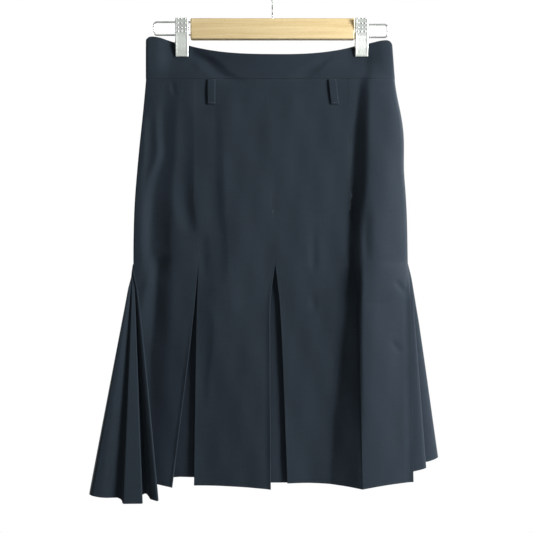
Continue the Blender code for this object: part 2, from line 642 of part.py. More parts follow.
def block(name, x, y, z, material):
    """Box between pairs of places along each axis."""
    mesh = bmesh.new()
    corners = bmesh.ops.create_cube(mesh, size=1.0)["verts"]
    for corner in corners:
        sides = zip(corner.co, (x, y, z))
        corner.co = [((low + high) / 2 + way * (high - low)) * MM for way, (low, high) in sides]
    return finish(name, mesh, material)


def join(target, tool, operation="UNION"):
    """Adds or cuts one object with another, which then only guides the Boolean."""
    modifier = target.modifiers.new(tool.name, "BOOLEAN")
    modifier.operation = operation
    modifier.solver = "EXACT"
    modifier.object = tool
    tool.hide_render = True
    tool.display_type = "WIRE"


def rod(name, points, radius, material, y=0.0):
    """Round wire along a path, given as (x, depth), in one plane across the body."""
    middle = np.array([(x, y, -depth) for x, depth in points])
    runs = np.gradient(middle, axis=0)
    mesh = bmesh.new()
    rings = []
    for point, run in zip(middle, runs):
        across = np.array([-run[2], 0.0, run[0]]) / np.linalg.norm(run)
        ring = []
        for step in range(ROUND_STEPS):
            angle = 2.0 * math.pi * (step + 0.5) / ROUND_STEPS
            out = across * math.cos(angle) + np.array([0.0, math.sin(angle), 0.0])
            ring.append(mesh.verts.new((point + out * radius) * MM))
        rings.append(ring)
    for before, after in zip(rings, rings[1:]):
        for step in range(ROUND_STEPS):
            mesh.faces.new((before[step - 1], before[step], after[step], after[step - 1]))
    mesh.faces.new(rings[0])
    mesh.faces.new(rings[-1])
    return finish(name, mesh, material)


def arc(centre, radius, first, last, steps):
    """Points of an arc in the hanger's plane; angles run from +X towards the hook."""
    angles = np.linspace(first, last, steps + 1)
    return [(centre[0] + radius * math.cos(a), centre[1] - radius * math.sin(a)) for a in angles]


def build_hanger(wood, steel):
    half = BAR_THICK / 2
    bar = block("hanger_bar", BAR_ENDS, (-half, half), (-BAR_DEPTHS[1], -BAR_DEPTHS[0]), wood)
    bevel = bar.modifiers.new("rounding", "BEVEL")
    bevel.width = BAR_BEVEL * MM
    bevel.segments = 2

    shank_end = BAR_DEPTHS[0] + SHANK_BORE
    bend = arc((0.0, HOOK_INSIDE), HOOK_INSIDE + HOOK_WIRE, HOOK_LEAVES, HOOK_TIP, HOOK_STEPS)
    leave = np.array(bend[0])
    run = np.array([math.sin(HOOK_LEAVES), math.cos(HOOK_LEAVES)])
    neck = []
    for share in (0.0, 0.2, 0.4, 0.6, 0.8):
        pull = NECK_PULL * (SHANK_TOP - leave[1])
        start, up = np.array([0.0, SHANK_TOP]), np.array([0.0, -pull])
        neck.append(tuple(
            (1 + 2 * share) * (1 - share) ** 2 * start
            + share * (1 - share) ** 2 * up
            + share * share * (3 - 2 * share) * leave
            + share * share * (share - 1) * run * pull
        ))
    rod("hanger_hook", [(0.0, shank_end)] + neck + bend, HOOK_WIRE, steel)
    ends = [(0.0, shank_end + BORE_CLEARANCE), (0.0, BAR_DEPTHS[0] - CUT)]
    join(bar, rod("hook_bore", ends, HOOK_WIRE + BORE_CLEARANCE, steel), "DIFFERENCE")

    for name, (end, legs) in WIRE_LOOPS.items():
        way = math.copysign(1.0, end)
        bar_end = BAR_ENDS[0] if way < 0 else BAR_ENDS[1]
        root = bar_end - way * WIRE_BORE
        corner_x = end - way * WIRE_BEND
        upper = arc((0.0, 0.0), WIRE_BEND, math.pi / 2, 0.0, WIRE_STEPS)
        lower = arc((0.0, 0.0), WIRE_BEND, 0.0, -math.pi / 2, WIRE_STEPS)
        path = [(root, legs[0])]
        path += [(corner_x + way * x, legs[0] + WIRE_BEND + depth) for x, depth in upper]
        path += [(corner_x + way * x, legs[1] - WIRE_BEND + depth) for x, depth in lower]
        path += [(root, legs[1])]
        rod(name, path, WIRE, steel)
        for leg, depth in zip(("upper", "lower"), legs):
            ends = [(root - way * BORE_CLEARANCE, depth), (bar_end + way * CUT, depth)]
            join(bar, rod(f"{name}_{leg}_bore", ends, WIRE + BORE_CLEARANCE, steel), "DIFFERENCE")


def build_clips(steel):
    for side, clip_x in zip(("left", "right"), CLIP_X):
        leg = WIRE_LOOPS["wire_loop_" + side][1][1]
        cheek = (leg - CHEEK_HALF, leg + CHEEK_HALF)
        depths, stands = zip(*JAW)
        levels = sorted(
            {depth for depth in depths if not cheek[0] - CHEEK_CLEAR < depth < cheek[1] + CHEEK_CLEAR}
            | {cheek[0] - CHEEK_EDGE, cheek[0], cheek[1], cheek[1] + CHEEK_EDGE}
        )
        for face, facing in (("front", FRONT), ("back", BACK)):
            rows = []
            for depth in levels:
                stand = float(np.interp(depth, depths, stands))
                at_cheek = cheek[0] <= depth <= cheek[1]
                reach = WIRE + LAYER_GAP if at_cheek else max(stand - CLIP_LIP, stands[-1])
                row = [(clip_x + CLIP_HALF * place, facing * stand, -depth) for place in JAW_COLUMNS]
                row.insert(0, (clip_x - CLIP_HALF - LIP_FLARE, facing * reach, -depth))
                row.append((clip_x + CLIP_HALF + LIP_FLARE, facing * reach, -depth))
                rows.append(row if facing == FRONT else row[::-1])
            wall(f"clip_{face}_{side}", rows, CLIP_SHEET, steel)


def clear_scene():
    for obj in list(bpy.data.objects):
        bpy.data.objects.remove(obj)


def main():
    clear_scene()
    cloth = make_material("navy_cloth", (0.022, 0.030, 0.046), 0.85)
    tape = make_material("zip_tape", (0.020, 0.026, 0.040), 0.9)
    steel = make_material("plated_steel", (0.62, 0.63, 0.61), 0.3, 1.0)
    wood = make_material("pale_wood", (0.72, 0.52, 0.27), 0.45)
    build_gores(cloth)
    build_godets(cloth)
    build_side_godets(cloth)
    build_bands(cloth)
    build_loops(cloth)
    build_zip(tape, steel)
    build_hanger(wood, steel)
    build_clips(steel)


main()
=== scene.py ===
"""Visual model of a pleated midi skirt on a clip hanger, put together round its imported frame."""

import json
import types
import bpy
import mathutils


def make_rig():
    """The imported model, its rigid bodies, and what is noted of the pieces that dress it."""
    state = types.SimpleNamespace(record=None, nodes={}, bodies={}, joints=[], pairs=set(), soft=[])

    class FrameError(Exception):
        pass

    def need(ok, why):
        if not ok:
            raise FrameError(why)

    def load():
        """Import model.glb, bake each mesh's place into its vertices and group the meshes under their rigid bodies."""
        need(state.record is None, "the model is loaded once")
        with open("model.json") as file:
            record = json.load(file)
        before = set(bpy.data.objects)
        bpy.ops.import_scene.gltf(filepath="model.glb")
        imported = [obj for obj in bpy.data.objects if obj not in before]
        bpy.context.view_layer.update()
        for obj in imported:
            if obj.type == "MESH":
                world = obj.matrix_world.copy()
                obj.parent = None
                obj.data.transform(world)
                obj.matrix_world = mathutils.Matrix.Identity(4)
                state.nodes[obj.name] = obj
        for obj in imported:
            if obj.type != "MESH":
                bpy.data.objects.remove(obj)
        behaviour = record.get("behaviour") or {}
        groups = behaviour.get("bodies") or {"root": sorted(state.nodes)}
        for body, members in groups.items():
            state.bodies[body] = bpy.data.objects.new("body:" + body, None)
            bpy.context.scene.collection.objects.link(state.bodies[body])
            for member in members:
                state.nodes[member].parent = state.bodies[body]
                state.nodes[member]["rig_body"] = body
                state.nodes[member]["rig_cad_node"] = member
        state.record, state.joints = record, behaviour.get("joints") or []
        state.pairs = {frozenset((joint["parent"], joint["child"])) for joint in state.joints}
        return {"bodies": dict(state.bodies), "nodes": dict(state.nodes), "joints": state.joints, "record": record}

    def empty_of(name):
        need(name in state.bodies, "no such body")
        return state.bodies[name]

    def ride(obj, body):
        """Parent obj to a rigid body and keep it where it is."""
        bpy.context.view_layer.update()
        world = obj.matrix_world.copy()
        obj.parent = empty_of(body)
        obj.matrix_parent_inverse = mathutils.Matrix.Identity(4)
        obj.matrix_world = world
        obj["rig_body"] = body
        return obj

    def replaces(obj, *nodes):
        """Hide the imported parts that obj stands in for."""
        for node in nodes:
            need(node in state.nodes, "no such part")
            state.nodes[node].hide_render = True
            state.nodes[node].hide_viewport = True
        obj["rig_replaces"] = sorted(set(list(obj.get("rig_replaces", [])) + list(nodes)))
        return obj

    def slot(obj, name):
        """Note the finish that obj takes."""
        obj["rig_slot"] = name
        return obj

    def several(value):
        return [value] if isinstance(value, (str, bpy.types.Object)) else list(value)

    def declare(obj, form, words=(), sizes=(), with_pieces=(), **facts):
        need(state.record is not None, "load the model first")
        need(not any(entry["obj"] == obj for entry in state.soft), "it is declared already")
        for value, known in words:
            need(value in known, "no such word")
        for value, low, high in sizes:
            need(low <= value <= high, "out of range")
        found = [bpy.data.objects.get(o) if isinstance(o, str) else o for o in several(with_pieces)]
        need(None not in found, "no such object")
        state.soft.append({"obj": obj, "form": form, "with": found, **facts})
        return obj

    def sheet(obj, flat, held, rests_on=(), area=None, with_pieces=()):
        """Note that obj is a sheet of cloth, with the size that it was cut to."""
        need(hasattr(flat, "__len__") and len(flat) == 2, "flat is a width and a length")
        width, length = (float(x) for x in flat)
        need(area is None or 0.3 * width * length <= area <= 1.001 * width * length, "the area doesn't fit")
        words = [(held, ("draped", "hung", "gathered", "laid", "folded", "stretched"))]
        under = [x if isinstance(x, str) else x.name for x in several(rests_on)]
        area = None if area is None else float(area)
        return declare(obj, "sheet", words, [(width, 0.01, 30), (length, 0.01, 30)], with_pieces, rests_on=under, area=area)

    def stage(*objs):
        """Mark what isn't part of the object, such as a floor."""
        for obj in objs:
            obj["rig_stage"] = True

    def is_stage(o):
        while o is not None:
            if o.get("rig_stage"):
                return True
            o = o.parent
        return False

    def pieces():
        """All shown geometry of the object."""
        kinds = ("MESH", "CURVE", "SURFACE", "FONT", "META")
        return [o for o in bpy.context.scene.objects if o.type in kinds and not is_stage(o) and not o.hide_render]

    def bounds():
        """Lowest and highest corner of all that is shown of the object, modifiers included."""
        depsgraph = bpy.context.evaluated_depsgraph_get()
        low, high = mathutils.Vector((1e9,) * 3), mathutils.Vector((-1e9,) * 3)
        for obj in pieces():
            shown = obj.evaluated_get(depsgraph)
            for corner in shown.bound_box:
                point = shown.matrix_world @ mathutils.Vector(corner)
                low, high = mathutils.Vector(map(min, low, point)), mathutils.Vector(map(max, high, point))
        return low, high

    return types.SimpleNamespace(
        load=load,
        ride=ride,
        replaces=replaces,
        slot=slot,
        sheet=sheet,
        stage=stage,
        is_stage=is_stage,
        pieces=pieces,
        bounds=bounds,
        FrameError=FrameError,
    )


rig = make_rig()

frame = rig.load()

import json
import math
from collections import namedtuple

import bmesh
import bpy
import numpy as np
from mathutils import Vector

cad_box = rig.bounds()

# ---------------------------------------------------------------------------------------------------------
# Gores. Eight flared panels of dark navy worsted, woven in a fine twill and cut with the grain down their
# middles. They are sewn edge to edge from the waistband to the knee, their seams are pressed open, and
# the hem is turned up inside and blind-stitched.

MM = 0.001
CLOTH, PANEL, EDGE_ROUND = 1.2, 0.9, 0.1  # room that a layer takes, the cloth itself, the round of its edges
SEAM_GAP, LAYER_GAP = 0.06, 0.3  # between neighbours at a seam, and between layers
LEVELS = SEAM, HIP, RELEASE, KICK, HEM = 178.0, 384.0, 444.0, 512.0, 762.0  # depths below the hook's inside
FRONT, BACK = -1.0, 1.0

# Edges of the gores: places across the body and off the hanger's plane at the five levels, and the hem's
# depth. All sizes are in millimetres.
Edge = namedtuple("Edge", "x y hem")
EDGES = {
    # name: x at seam, hip, release, kick and hem, y at the same levels, hem
    "side_left_front": Edge((-183, -200, -201, -198, -185), (-3, -9, -10.5, -9.5, -9), 756),
    "princess_left_out": Edge((-111.4, -113, -106.5, -113.3, -144), (-8, -15, -17, -21, -27), 764),
    "princess_left_in": Edge((-111.4, -113, -106.5, -109, -113), (-8, -15, -17, -20, -22), 762),
    "centre_front_left": Edge((-5.6, 0.3, 3.2, -4.6, -3.5), (-9, -17, -19, -22, -31), 766),
    "centre_front_right": Edge((-5.6, 0.3, 3.2, 10.4, 20.6), (-9, -17, -19, -20, -27), 758.5),
    "princess_right_in": Edge((107.5, 113.4, 116.5, 121.5, 126.4), (-8, -14, -18, -25, -33), 763.5),
    "princess_right_out": Edge((107.5, 113.4, 116.5, 121.5, 126.2), (-8, -14, -18, -25.3, -33.5), 763.5),
    "side_right_front": Edge((176.4, 194, 195, 198, 200.7), (0, -2, -3, -8, -13), 756.5),
    "side_right_back": Edge((176.4, 194, 195, 198, 196), (0, -2, -3, 3, 38), 758),
    "back_right_out": Edge((108, 113, 111, 116, 136), (8, 14, 17, 25, 46), 760),
    "back_right_in": Edge((108, 113, 111, 111.5, 114), (8, 14, 17, 25, 42), 759),
    "centre_back_right": Edge((0.8, 0, 0, 5.5, 12), (9, 15, 18, 25, 44), 759),
    "centre_back_left": Edge((-0.8, 0, 0, -5.5, -12), (9, 15, 18, 25, 44), 759),
    "back_left_in": Edge((-111, -114, -108, -109, -112), (8, 14, 17, 25, 42), 760),
    "back_left_out": Edge((-111, -114, -108, -113.5, -136), (8, 14, 17, 25, 46), 762),
    "side_left_back": Edge((-183, -200, -201, -198, -194), (-3, -9, -10.5, -1, 38), 766),
}

# Gores in their order round the body, how far the hem rises between their edges, and the cut of each:
# its width at the waist, hip and hem, and its length
Gore = namedtuple("Gore", "start end face rise waist hip hem length")
GORES = {
    "front_side_left": Gore("side_left_front", "princess_left_out", FRONT, 0, 74, 92, 50, 588),
    "front_centre_left": Gore("princess_left_in", "centre_front_left", FRONT, 1.5, 107, 113, 110, 587),
    "front_centre_right": Gore("centre_front_right", "princess_right_in", FRONT, 2.5, 114, 114, 109, 587),
    "front_side_right": Gore("princess_right_out", "side_right_front", FRONT, 1.5, 72, 88, 77, 588),
    "back_side_right": Gore("side_right_back", "back_right_out", BACK, 0, 72, 87, 66, 588),
    "back_centre_right": Gore("back_right_in", "centre_back_right", BACK, 2, 108, 113, 103, 587),
    "back_centre_left": Gore("centre_back_left", "back_left_in", BACK, 2, 111, 113, 101, 587),
    "back_side_left": Gore("back_left_out", "side_left_back", BACK, 0, 75, 91, 67, 592),
}
# How round the gores turn at the side seams, how far these open above the side godets, and the share of a
# gore over which its folds fade towards them
SIDE_TURN, SIDE_OPENING, SIDE_FADE = {"left": 1.5, "right": 17.0}, 12.0, {"left": 0.035, "right": 0.18}
HIP_SWELL, SWELL_DEPTH, SWELL_REACH = 5.0, 250.0, 72.0  # swell of the right hip past its edge

# Folds. Each row is a depth, the place across the body, how far the fold lifts the cloth there (a trough's
# lift is negative) and how far its left and right flanks reach. Both flanks have a steepness where they leave
# the fold's line and where they end: 0 is soft, 1 is straight, 2 is sharp.
Fold = namedtuple("Fold", "face left right rows")
SOFT = (0.0, 0.0)
FOLDS = (
    # Deep fold that falls from the right clip beside the princess seam, and the hollow beside it lower down
    Fold(FRONT, (1, 1.2), (0, 2.4), (
        (172, 137, 0, 9, 50), (202, 137.5, 7.5, 13.5, 54), (238, 136.5, 9.5, 16, 58),
        (281, 135.5, 11, 18.5, 60), (325, 134, 11.8, 19, 64), (368, 131, 12, 18.5, 66),
        (411, 128.6, 12, 18.6, 68), (440, 127.3, 11.4, 16.8, 70), (500, 126.5, 0, 19, 70))),
    Fold(FRONT, (1.6, 1), (0.2, 1.6), (
        (440, 127.3, 0, 16.8, 72), (500, 125.8, 11.4, 19.5, 72), (555, 125.6, 11.6, 26, 73),
        (612, 125.7, 11, 31, 75), (669, 125.5, 10.8, 38, 75), (800, 124.8, 10.8, 45, 75))),
    Fold(FRONT, SOFT, SOFT, (
        (240, 142, 0, 12, 26), (290, 144, 0.6, 14, 34), (368, 144, 1.8, 18, 44), (440, 144, 1.6, 18, 44),
        (520, 144, 0, 18, 44))),
    Fold(FRONT, SOFT, (0, 0.6), (
        (400, 84, 0, 40, 32), (454, 87, -1.5, 50, 31), (526, 90, -3.5, 60, 32), (583, 89, -4.6, 78, 35),
        (640, 84, -5, 86, 39), (698, 80, -4.8, 86, 43), (800, 76, -4.8, 86, 49))),
    Fold(FRONT, SOFT, (0, 1), (
        (345, 132, 0, 5, 11), (368, 131.8, -1, 5, 12), (396, 130.6, -2.2, 4.5, 13),
        (418, 130.4, -2, 4.5, 13), (445, 130.4, 0, 5, 12))),
    # Long trough down the left side, with a short one outside it
    Fold(FRONT, SOFT, (0, 1.5), (
        (190, -150, 0, 14, 14), (238, -157, -2.8, 14, 19), (281, -157, -3.2, 10, 18),
        (325, -168, -4.4, 14, 24.5), (368, -172, -4.8, 16, 27.5), (411, -174, -5, 16, 27),
        (440, -174, -4, 16, 27), (475, -178, 0, 18, 30))),
    Fold(FRONT, (0, 0.6), (1.2, 0), (
        (425, -164, 0, 14, 24), (454, -166, -4.6, 14, 26), (500, -168, -5.5, 20, 26),
        (540, -172, -5.5, 26, 28), (583, -175, -4.8, 28, 30), (640, -175.5, -2.6, 28, 32),
        (700, -172.5, -0.5, 28, 32), (740, -170, 0, 28, 32))),
    Fold(FRONT, (0, 1), (0, 1), (
        (225, -176, 0, 8, 8), (250, -177, -1.2, 8, 9), (285, -178, -1.5, 8, 10), (325, -182, -0.9, 8, 10),
        (440, -180, 0, 6, 9))),
    # Edges of the two left gores, turned a little forward over the pleats
    Fold(FRONT, (0.6, 0), SOFT, (
        (452, 4.5, 0, 6, 3), (500, -3, 1, 6, 3), (600, -4, 1.5, 6, 3), (800, -2, 1.5, 6, 3))),
    Fold(FRONT, (0.6, 0), SOFT, (
        (500, -110.5, 0, 6, 3), (560, -117.6, 1, 6, 3), (612, -124, 1.5, 6, 3), (669, -131.2, 1.6, 6, 3),
        (727, -138.4, 1.6, 6, 3), (800, -147, 1.6, 6, 3))),
    # Rounded left side, and the bulge of the band beyond the right clip
    Fold(FRONT, SOFT, (0, 0.6), (
        (118, -181, 2, 8, 34), (150, -183, 2.8, 8, 36), (178, -186, 2.6, 8, 36), (240, -196, 1.8, 8, 34),
        (325, -201, 1.6, 8, 26), (411, -201, 1.4, 8, 24), (452, -201, 0, 8, 24))),
    Fold(FRONT, SOFT, (0, 1), (
        (118, 147, 1.2, 9, 36), (150, 147, 1.8, 11, 38), (172, 144, 1.8, 12, 40), (192, 142, 0, 12, 40))),
    # Soft step up towards the middle, and short troughs over the left hip
    Fold(FRONT, SOFT, SOFT, (
        (200, -80, 0, 40, 60), (270, -78, 1.4, 42, 70), (350, -76, 2.4, 44, 80), (430, -76, 2.8, 44, 80),
        (560, -76, 2.4, 40, 80), (660, -76, 0, 40, 80))),
    Fold(FRONT, SOFT, (0, 1.2), (
        (215, -126, 0, 14, 10), (252, -127.7, -1, 18, 15), (310, -127.7, -2.3, 22, 14),
        (353, -127, -3, 22, 13.5), (380, -123.4, -2.4, 20, 13), (405, -119, 0, 18, 12))),
    Fold(FRONT, SOFT, (0, 1), (
        (205, -86, 0, 30, 9), (281, -84, -1.6, 32, 13), (368, -82, -2, 32, 13), (411, -78.3, -2.1, 32, 14),
        (435, -78, -2, 32, 14), (480, -78, 0, 30, 12))),
    Fold(FRONT, SOFT, (0, 1), (
        (395, -100.4, 0, 18, 8), (420, -100.4, -1, 18, 9), (445, -100, -0.9, 18, 9), (462, -100, 0, 18, 8))),
    Fold(FRONT, SOFT, (0, 0.8), (
        (505, -97.5, 0, 22, 9), (540, -93.2, -1, 24, 10), (583, -96, -1.2, 24, 9),
        (612, -100.4, -1.3, 22, 9), (665, -99, 0, 22, 9))),
    # Short creases right of the middle
    Fold(FRONT, SOFT, (0, 0.6), (
        (385, 57.6, 0, 6, 8), (420, 57.6, -1, 8, 9), (440, 57.6, -1.4, 8, 9), (460, 57, 0, 8, 9))),
    Fold(FRONT, SOFT, (0, 0.6), (
        (485, 57, 0, 8, 9), (502, 57, -1, 8, 9), (518, 57, 0, 8, 9))),
    # Drag of the waistband away from the clips
    Fold(FRONT, SOFT, (0, 0.6), (
        (128, -126, 0, 14, 12), (140, -112, -1.6, 22, 18), (150, -97, -2.8, 24, 18),
        (158, -88, -3.2, 24, 18), (168, -80, -2.8, 24, 20), (178, -64, -1.4, 26, 24), (188, -48, 0, 26, 26))),
    Fold(FRONT, SOFT, SOFT, (
        (138, 94, 0, 12, 12), (152, 74, -1.2, 22, 12), (169, 52, -2, 28, 20), (186, 40, 0, 28, 20))),
    # The same behind
    Fold(BACK, SOFT, (0, 0.8), (
        (186, 138, 0, 13, 14), (240, 141, -4, 15, 16), (360, 147, -4, 16, 16), (430, 150, 0, 15, 16))),
    Fold(BACK, (0, 1), SOFT, (
        (190, -140, 0, 14, 15), (260, -144, -4, 16, 18), (480, -154, -4.5, 17, 19), (640, -161, 0, 14, 17))),
    Fold(BACK, SOFT, SOFT, (
        (470, 62, 0, 48, 46), (560, 62, -6, 48, 46), (800, 62, -12, 48, 46))),
    Fold(BACK, SOFT, SOFT, (
        (470, -60, 0, 46, 48), (560, -60.5, -6, 46, 48), (800, -62, -12, 46, 48))),
    Fold(BACK, (0, 1), SOFT, (
        (225, 92, 0, 9, 9), (300, 90, -1.6, 13, 12), (400, 84, -2, 14, 10), (455, 82, 0, 12, 10))),
    Fold(BACK, (0, 1), SOFT, (
        (250, -84, 0, 9, 9), (330, -80, -1.6, 13, 12), (430, -74, 0, 12, 10))),
    Fold(BACK, SOFT, (0, 0.8), (
        (130, 118, 0, 12, 10), (150, 92, -1.5, 16, 18), (168, 72, -1.6, 18, 18), (186, 45, 0, 20, 20))),
)

# Short slanting creases: place and depth of each end, half width, and height off the body
Crease = namedtuple("Crease", "face x_from depth_from x_to depth_to half lift")
CREASES = (
    Crease(FRONT, 172, 466, 193, 490, 7, -1.4),
    Crease(FRONT, 165, 552, 185, 574, 8, -1.2),
    Crease(FRONT, -146, 180, -141, 205, 4, -1.2),
    Crease(BACK, -176, 470, -190, 492, 8, -1.2),
    Crease(BACK, 166, 540, 180, 562, 8, -1.2),
)
CREASE_ENDS = 0.35  # share of a crease's length over which each end dies out
# Faint unevenness of the whole cloth: waves across and down, height, and phase
RIPPLES = ((86, 240, 0.35, 0.4), (47, -131, 0.2, 1.9), (29, 310, 0.1, 4), (143, 67, 0.18, 2.6))
RIPPLE_START = 30.0  # how far below the band's seam it has grown to the full

GRID = 3.0  # spacing of the cloth's points
HEM_TURN, HEM_DEEP, HEM_STEP = 0.45, 38.0, 0.8  # what the turned-up hem adds inside, its depth, its step
RUBBED = 1.6  # how far in from its edges a sheet is rubbed
SURFACES = {}  # the middle of each sheet, and the way out from it
NAVY_DARK, NAVY_LIGHT = (0.0108, 0.0167, 0.0262, 1.0), (0.0203, 0.0308, 0.0452, 1.0)


class Signal:
    """Output of a shader node. Arithmetic on it adds Math nodes."""

    def __init__(self, tree, socket):
        self.tree, self.socket = tree, socket

    def math(self, operation, *others):
        node = self.tree.nodes.new("ShaderNodeMath")
        node.operation = operation
        for place, value in enumerate((self, *others)):
            connect(self.tree, node.inputs[place], value)
        return Signal(self.tree, node.outputs[0])

    def __add__(self, other):
        return self.math("ADD", other)

    def __mul__(self, other):
        return self.math("MULTIPLY", other)

    def __sub__(self, other):
        return self.math("SUBTRACT", other)

    def __rsub__(self, other):
        return self.math("MULTIPLY", -1.0).math("ADD", other)

    def __truediv__(self, other):
        return self.math("DIVIDE", other)

    def __mod__(self, other):
        return self.math("FLOORED_MODULO", other)

    __radd__, __rmul__ = __add__, __mul__


def connect(tree, socket, value):
    if isinstance(value, Signal):
        tree.links.new(value.socket, socket)
    else:
        socket.default_value = value


class Nodes:
    """Tree that is put together node by node."""

    tree = None

    def node(self, kind, settings=None, inputs=None, output=0):
        node = self.tree.nodes.new(kind)
        for name, value in (settings or {}).items():
            setattr(node, name, value)
        for name, value in (inputs or {}).items():
            connect(self.tree, node.inputs[name], value)
        return Signal(self.tree, node.outputs[output])

    def part(self, vector, coordinate):
        return self.node("ShaderNodeSeparateXYZ", {}, {0: vector}, coordinate)


class Finish(Nodes):
    """Material of one Principled shader."""

    def __init__(self, name, **constants):
        self.material = bpy.data.materials.new(name)
        self.material.use_nodes = True
        self.tree = self.material.node_tree
        self.shader = self.tree.nodes["Principled BSDF"]
        for socket, value in constants.items():
            self.shader.inputs[socket.replace("_", " ")].default_value = value

    def place(self, coordinate=None):
        """The three coordinates of each point of the object, in metres, or one of them."""
        where = self.node("ShaderNodeTexCoord", output="Object")
        return where if coordinate is None else self.part(where, coordinate)

    def stretched(self, x, y, z):
        """The object's coordinates, each times a number."""
        inputs = {"X": self.place("X") * x, "Y": self.place("Y") * y, "Z": self.place("Z") * z}
        return self.node("ShaderNodeCombineXYZ", {}, inputs)

    def mix(self, share, first, second, blend="MIX"):
        settings = {"data_type": "RGBA", "blend_type": blend}
        return self.node("ShaderNodeMix", settings, {0: share, 6: first, 7: second}, 2)

    def noise(self, where, scale, detail=3.0, roughness=0.5):
        inputs = {"Vector": where, "Scale": scale, "Detail": detail, "Roughness": roughness}
        return self.node("ShaderNodeTexNoise", {}, inputs, "Fac")

    def spread(self, value, low, high, start=0.0, end=1.0):
        inputs = {"Value": value, "From Min": low, "From Max": high, "To Min": start, "To Max": end}
        return self.node("ShaderNodeMapRange", {"clamp": True}, inputs)

    def finish(self, colour=None, roughness=None, height=None, distance=0.0001, strength=1.0):
        for socket, value in (("Base Color", colour), ("Roughness", roughness)):
            if value is not None:
                connect(self.tree, self.shader.inputs[socket], value)
        if height is not None:
            inputs = {"Height": height, "Distance": distance, "Strength": strength}
            connect(self.tree, self.shader.inputs["Normal"], self.node("ShaderNodeBump", {}, inputs))
        return self.material


PITCH = 0.00048  # of the weave's threads, in metres


def worsted(name, dark, light):
    """Fine twill: warp over two wefts and under one, with a step of one thread in each row."""
    cloth = Finish(name, Roughness=0.8, Sheen_Weight=0.12, Sheen_Roughness=0.35, Specular_IOR_Level=0.2)
    grain = cloth.node("ShaderNodeUVMap", {"uv_map": "grain"})
    across, down = cloth.part(grain, "X") / PITCH, cloth.part(grain, "Y") / PITCH
    warp = (across * math.pi).math("SINE").math("ABSOLUTE")
    weft = (down * math.pi).math("SINE").math("ABSOLUTE")
    over = ((across.math("FLOOR") + down.math("FLOOR")) % 3.0).math("LESS_THAN", 1.5)
    weave = warp * over * 0.9 + weft * (1.0 - over) * 0.6
    slub = cloth.noise(grain, 900.0, 2.0)
    patch = cloth.noise(grain, 24.0, 4.0, 0.6)
    fuzz = cloth.noise(grain, 260.0, 3.0, 0.7)
    long_thread = cloth.node("ShaderNodeCombineXYZ", {}, {"X": across * 0.55, "Y": down * 0.02})
    cross_thread = cloth.node("ShaderNodeCombineXYZ", {}, {"X": across * 0.02, "Y": down * 0.55})
    streaks = cloth.noise(long_thread, 1.0, 2.0) + cloth.noise(cross_thread, 1.0, 2.0)
    tone = cloth.spread(weave * 0.3 + slub * 0.3 + patch * 0.4 + fuzz * 0.3 + streaks * 0.7, 0.85, 1.85)
    rubbed = cloth.node("ShaderNodeAttribute", {"attribute_name": "rubbed"}, output="Fac")
    tone = tone + rubbed * (fuzz + 0.2) * 0.07
    colour = cloth.mix(tone, dark, light)
    rough = cloth.spread(patch + fuzz * 0.5 - rubbed * 0.5, 0.4, 1.1, 0.74, 0.9)
    return cloth.finish(colour, rough, weave * 0.7 + slub * 0.4 + fuzz * 0.8, 0.00012, 0.7)


navy = worsted("navy_worsted", NAVY_DARK, NAVY_LIGHT)


def smooth(share):
    share = np.clip(share, 0.0, 1.0)
    return share * share * (3.0 - 2.0 * share)


def hermite(t):
    """Weights of a curve's start, of the way it leaves it, of its end and of the way it gets there."""
    return (1 + 2 * t) * (1 - t) ** 2, t * (1 - t) ** 2, t * t * (3 - 2 * t), t * t * (t - 1)


def bell(across):
    return np.where(np.abs(across) < 1.0, 0.5 * (1.0 + np.cos(math.pi * np.clip(across, -1.0, 1.0))), 0.0)


def through(places, values, place):
    """Smooth curve through the values at the places, with no overshoot."""
    places, values = np.asarray(places, float), np.asarray(values, float)
    steps = np.diff(places)
    slopes = np.diff(values) / steps
    before, after = slopes[:-1], slopes[1:]
    turn = before * after > 0
    inner = np.where(turn, 2.0 * before * after / np.where(turn, before + after, 1.0), 0.0)
    tangents = np.concatenate([slopes[:1], inner, slopes[-1:]])
    place = np.clip(place, places[0], places[-1])
    i = np.clip(np.searchsorted(places, place, side="right") - 1, 0, len(steps) - 1)
    start, leave, end, reach = hermite((place - places[i]) / steps[i])
    return (start * values[i] + leave * steps[i] * tangents[i]
            + end * values[i + 1] + reach * steps[i] * tangents[i + 1])


def pleat_share(level):
    """How far down the pleats a level is: 0 where they open, 1 at the hem."""
    return np.clip((level - RELEASE) / (HEM - RELEASE), 0.0, 1.0)


def hand(name):
    return "left" if "left" in name else "right"


def edge_point(name, level):
    """x and y of a gore's edge at each level."""
    edge = EDGES[name]
    x, y = (
        np.where(level <= RELEASE, through(LEVELS[:3], side[:3], level), through(LEVELS[2:], side[2:], level))
        for side in (edge.x, edge.y)
    )
    if name.startswith("side"):
        y = y + (BACK if name.endswith("back") else FRONT) * SIDE_OPENING * np.sqrt(pleat_share(level))
    if name.startswith("side_right"):
        x = x + HIP_SWELL * bell((level - SWELL_DEPTH) / SWELL_REACH)
    return x, y


def lowered(level, hem):
    """Depth of a level where the hem has a depth of its own."""
    return level + (hem - HEM) * pleat_share(level)


def flank(across, steep):
    """Height of a fold's flank, from 1 on its line to 0 where across is 1."""
    a = np.clip(across, 0.0, 1.0)
    return (1.0 + 2.0 * a) * (1.0 - a) ** 2 - steep[0] * a * (1.0 - a) ** 2 + steep[1] * a * a * (1.0 - a)


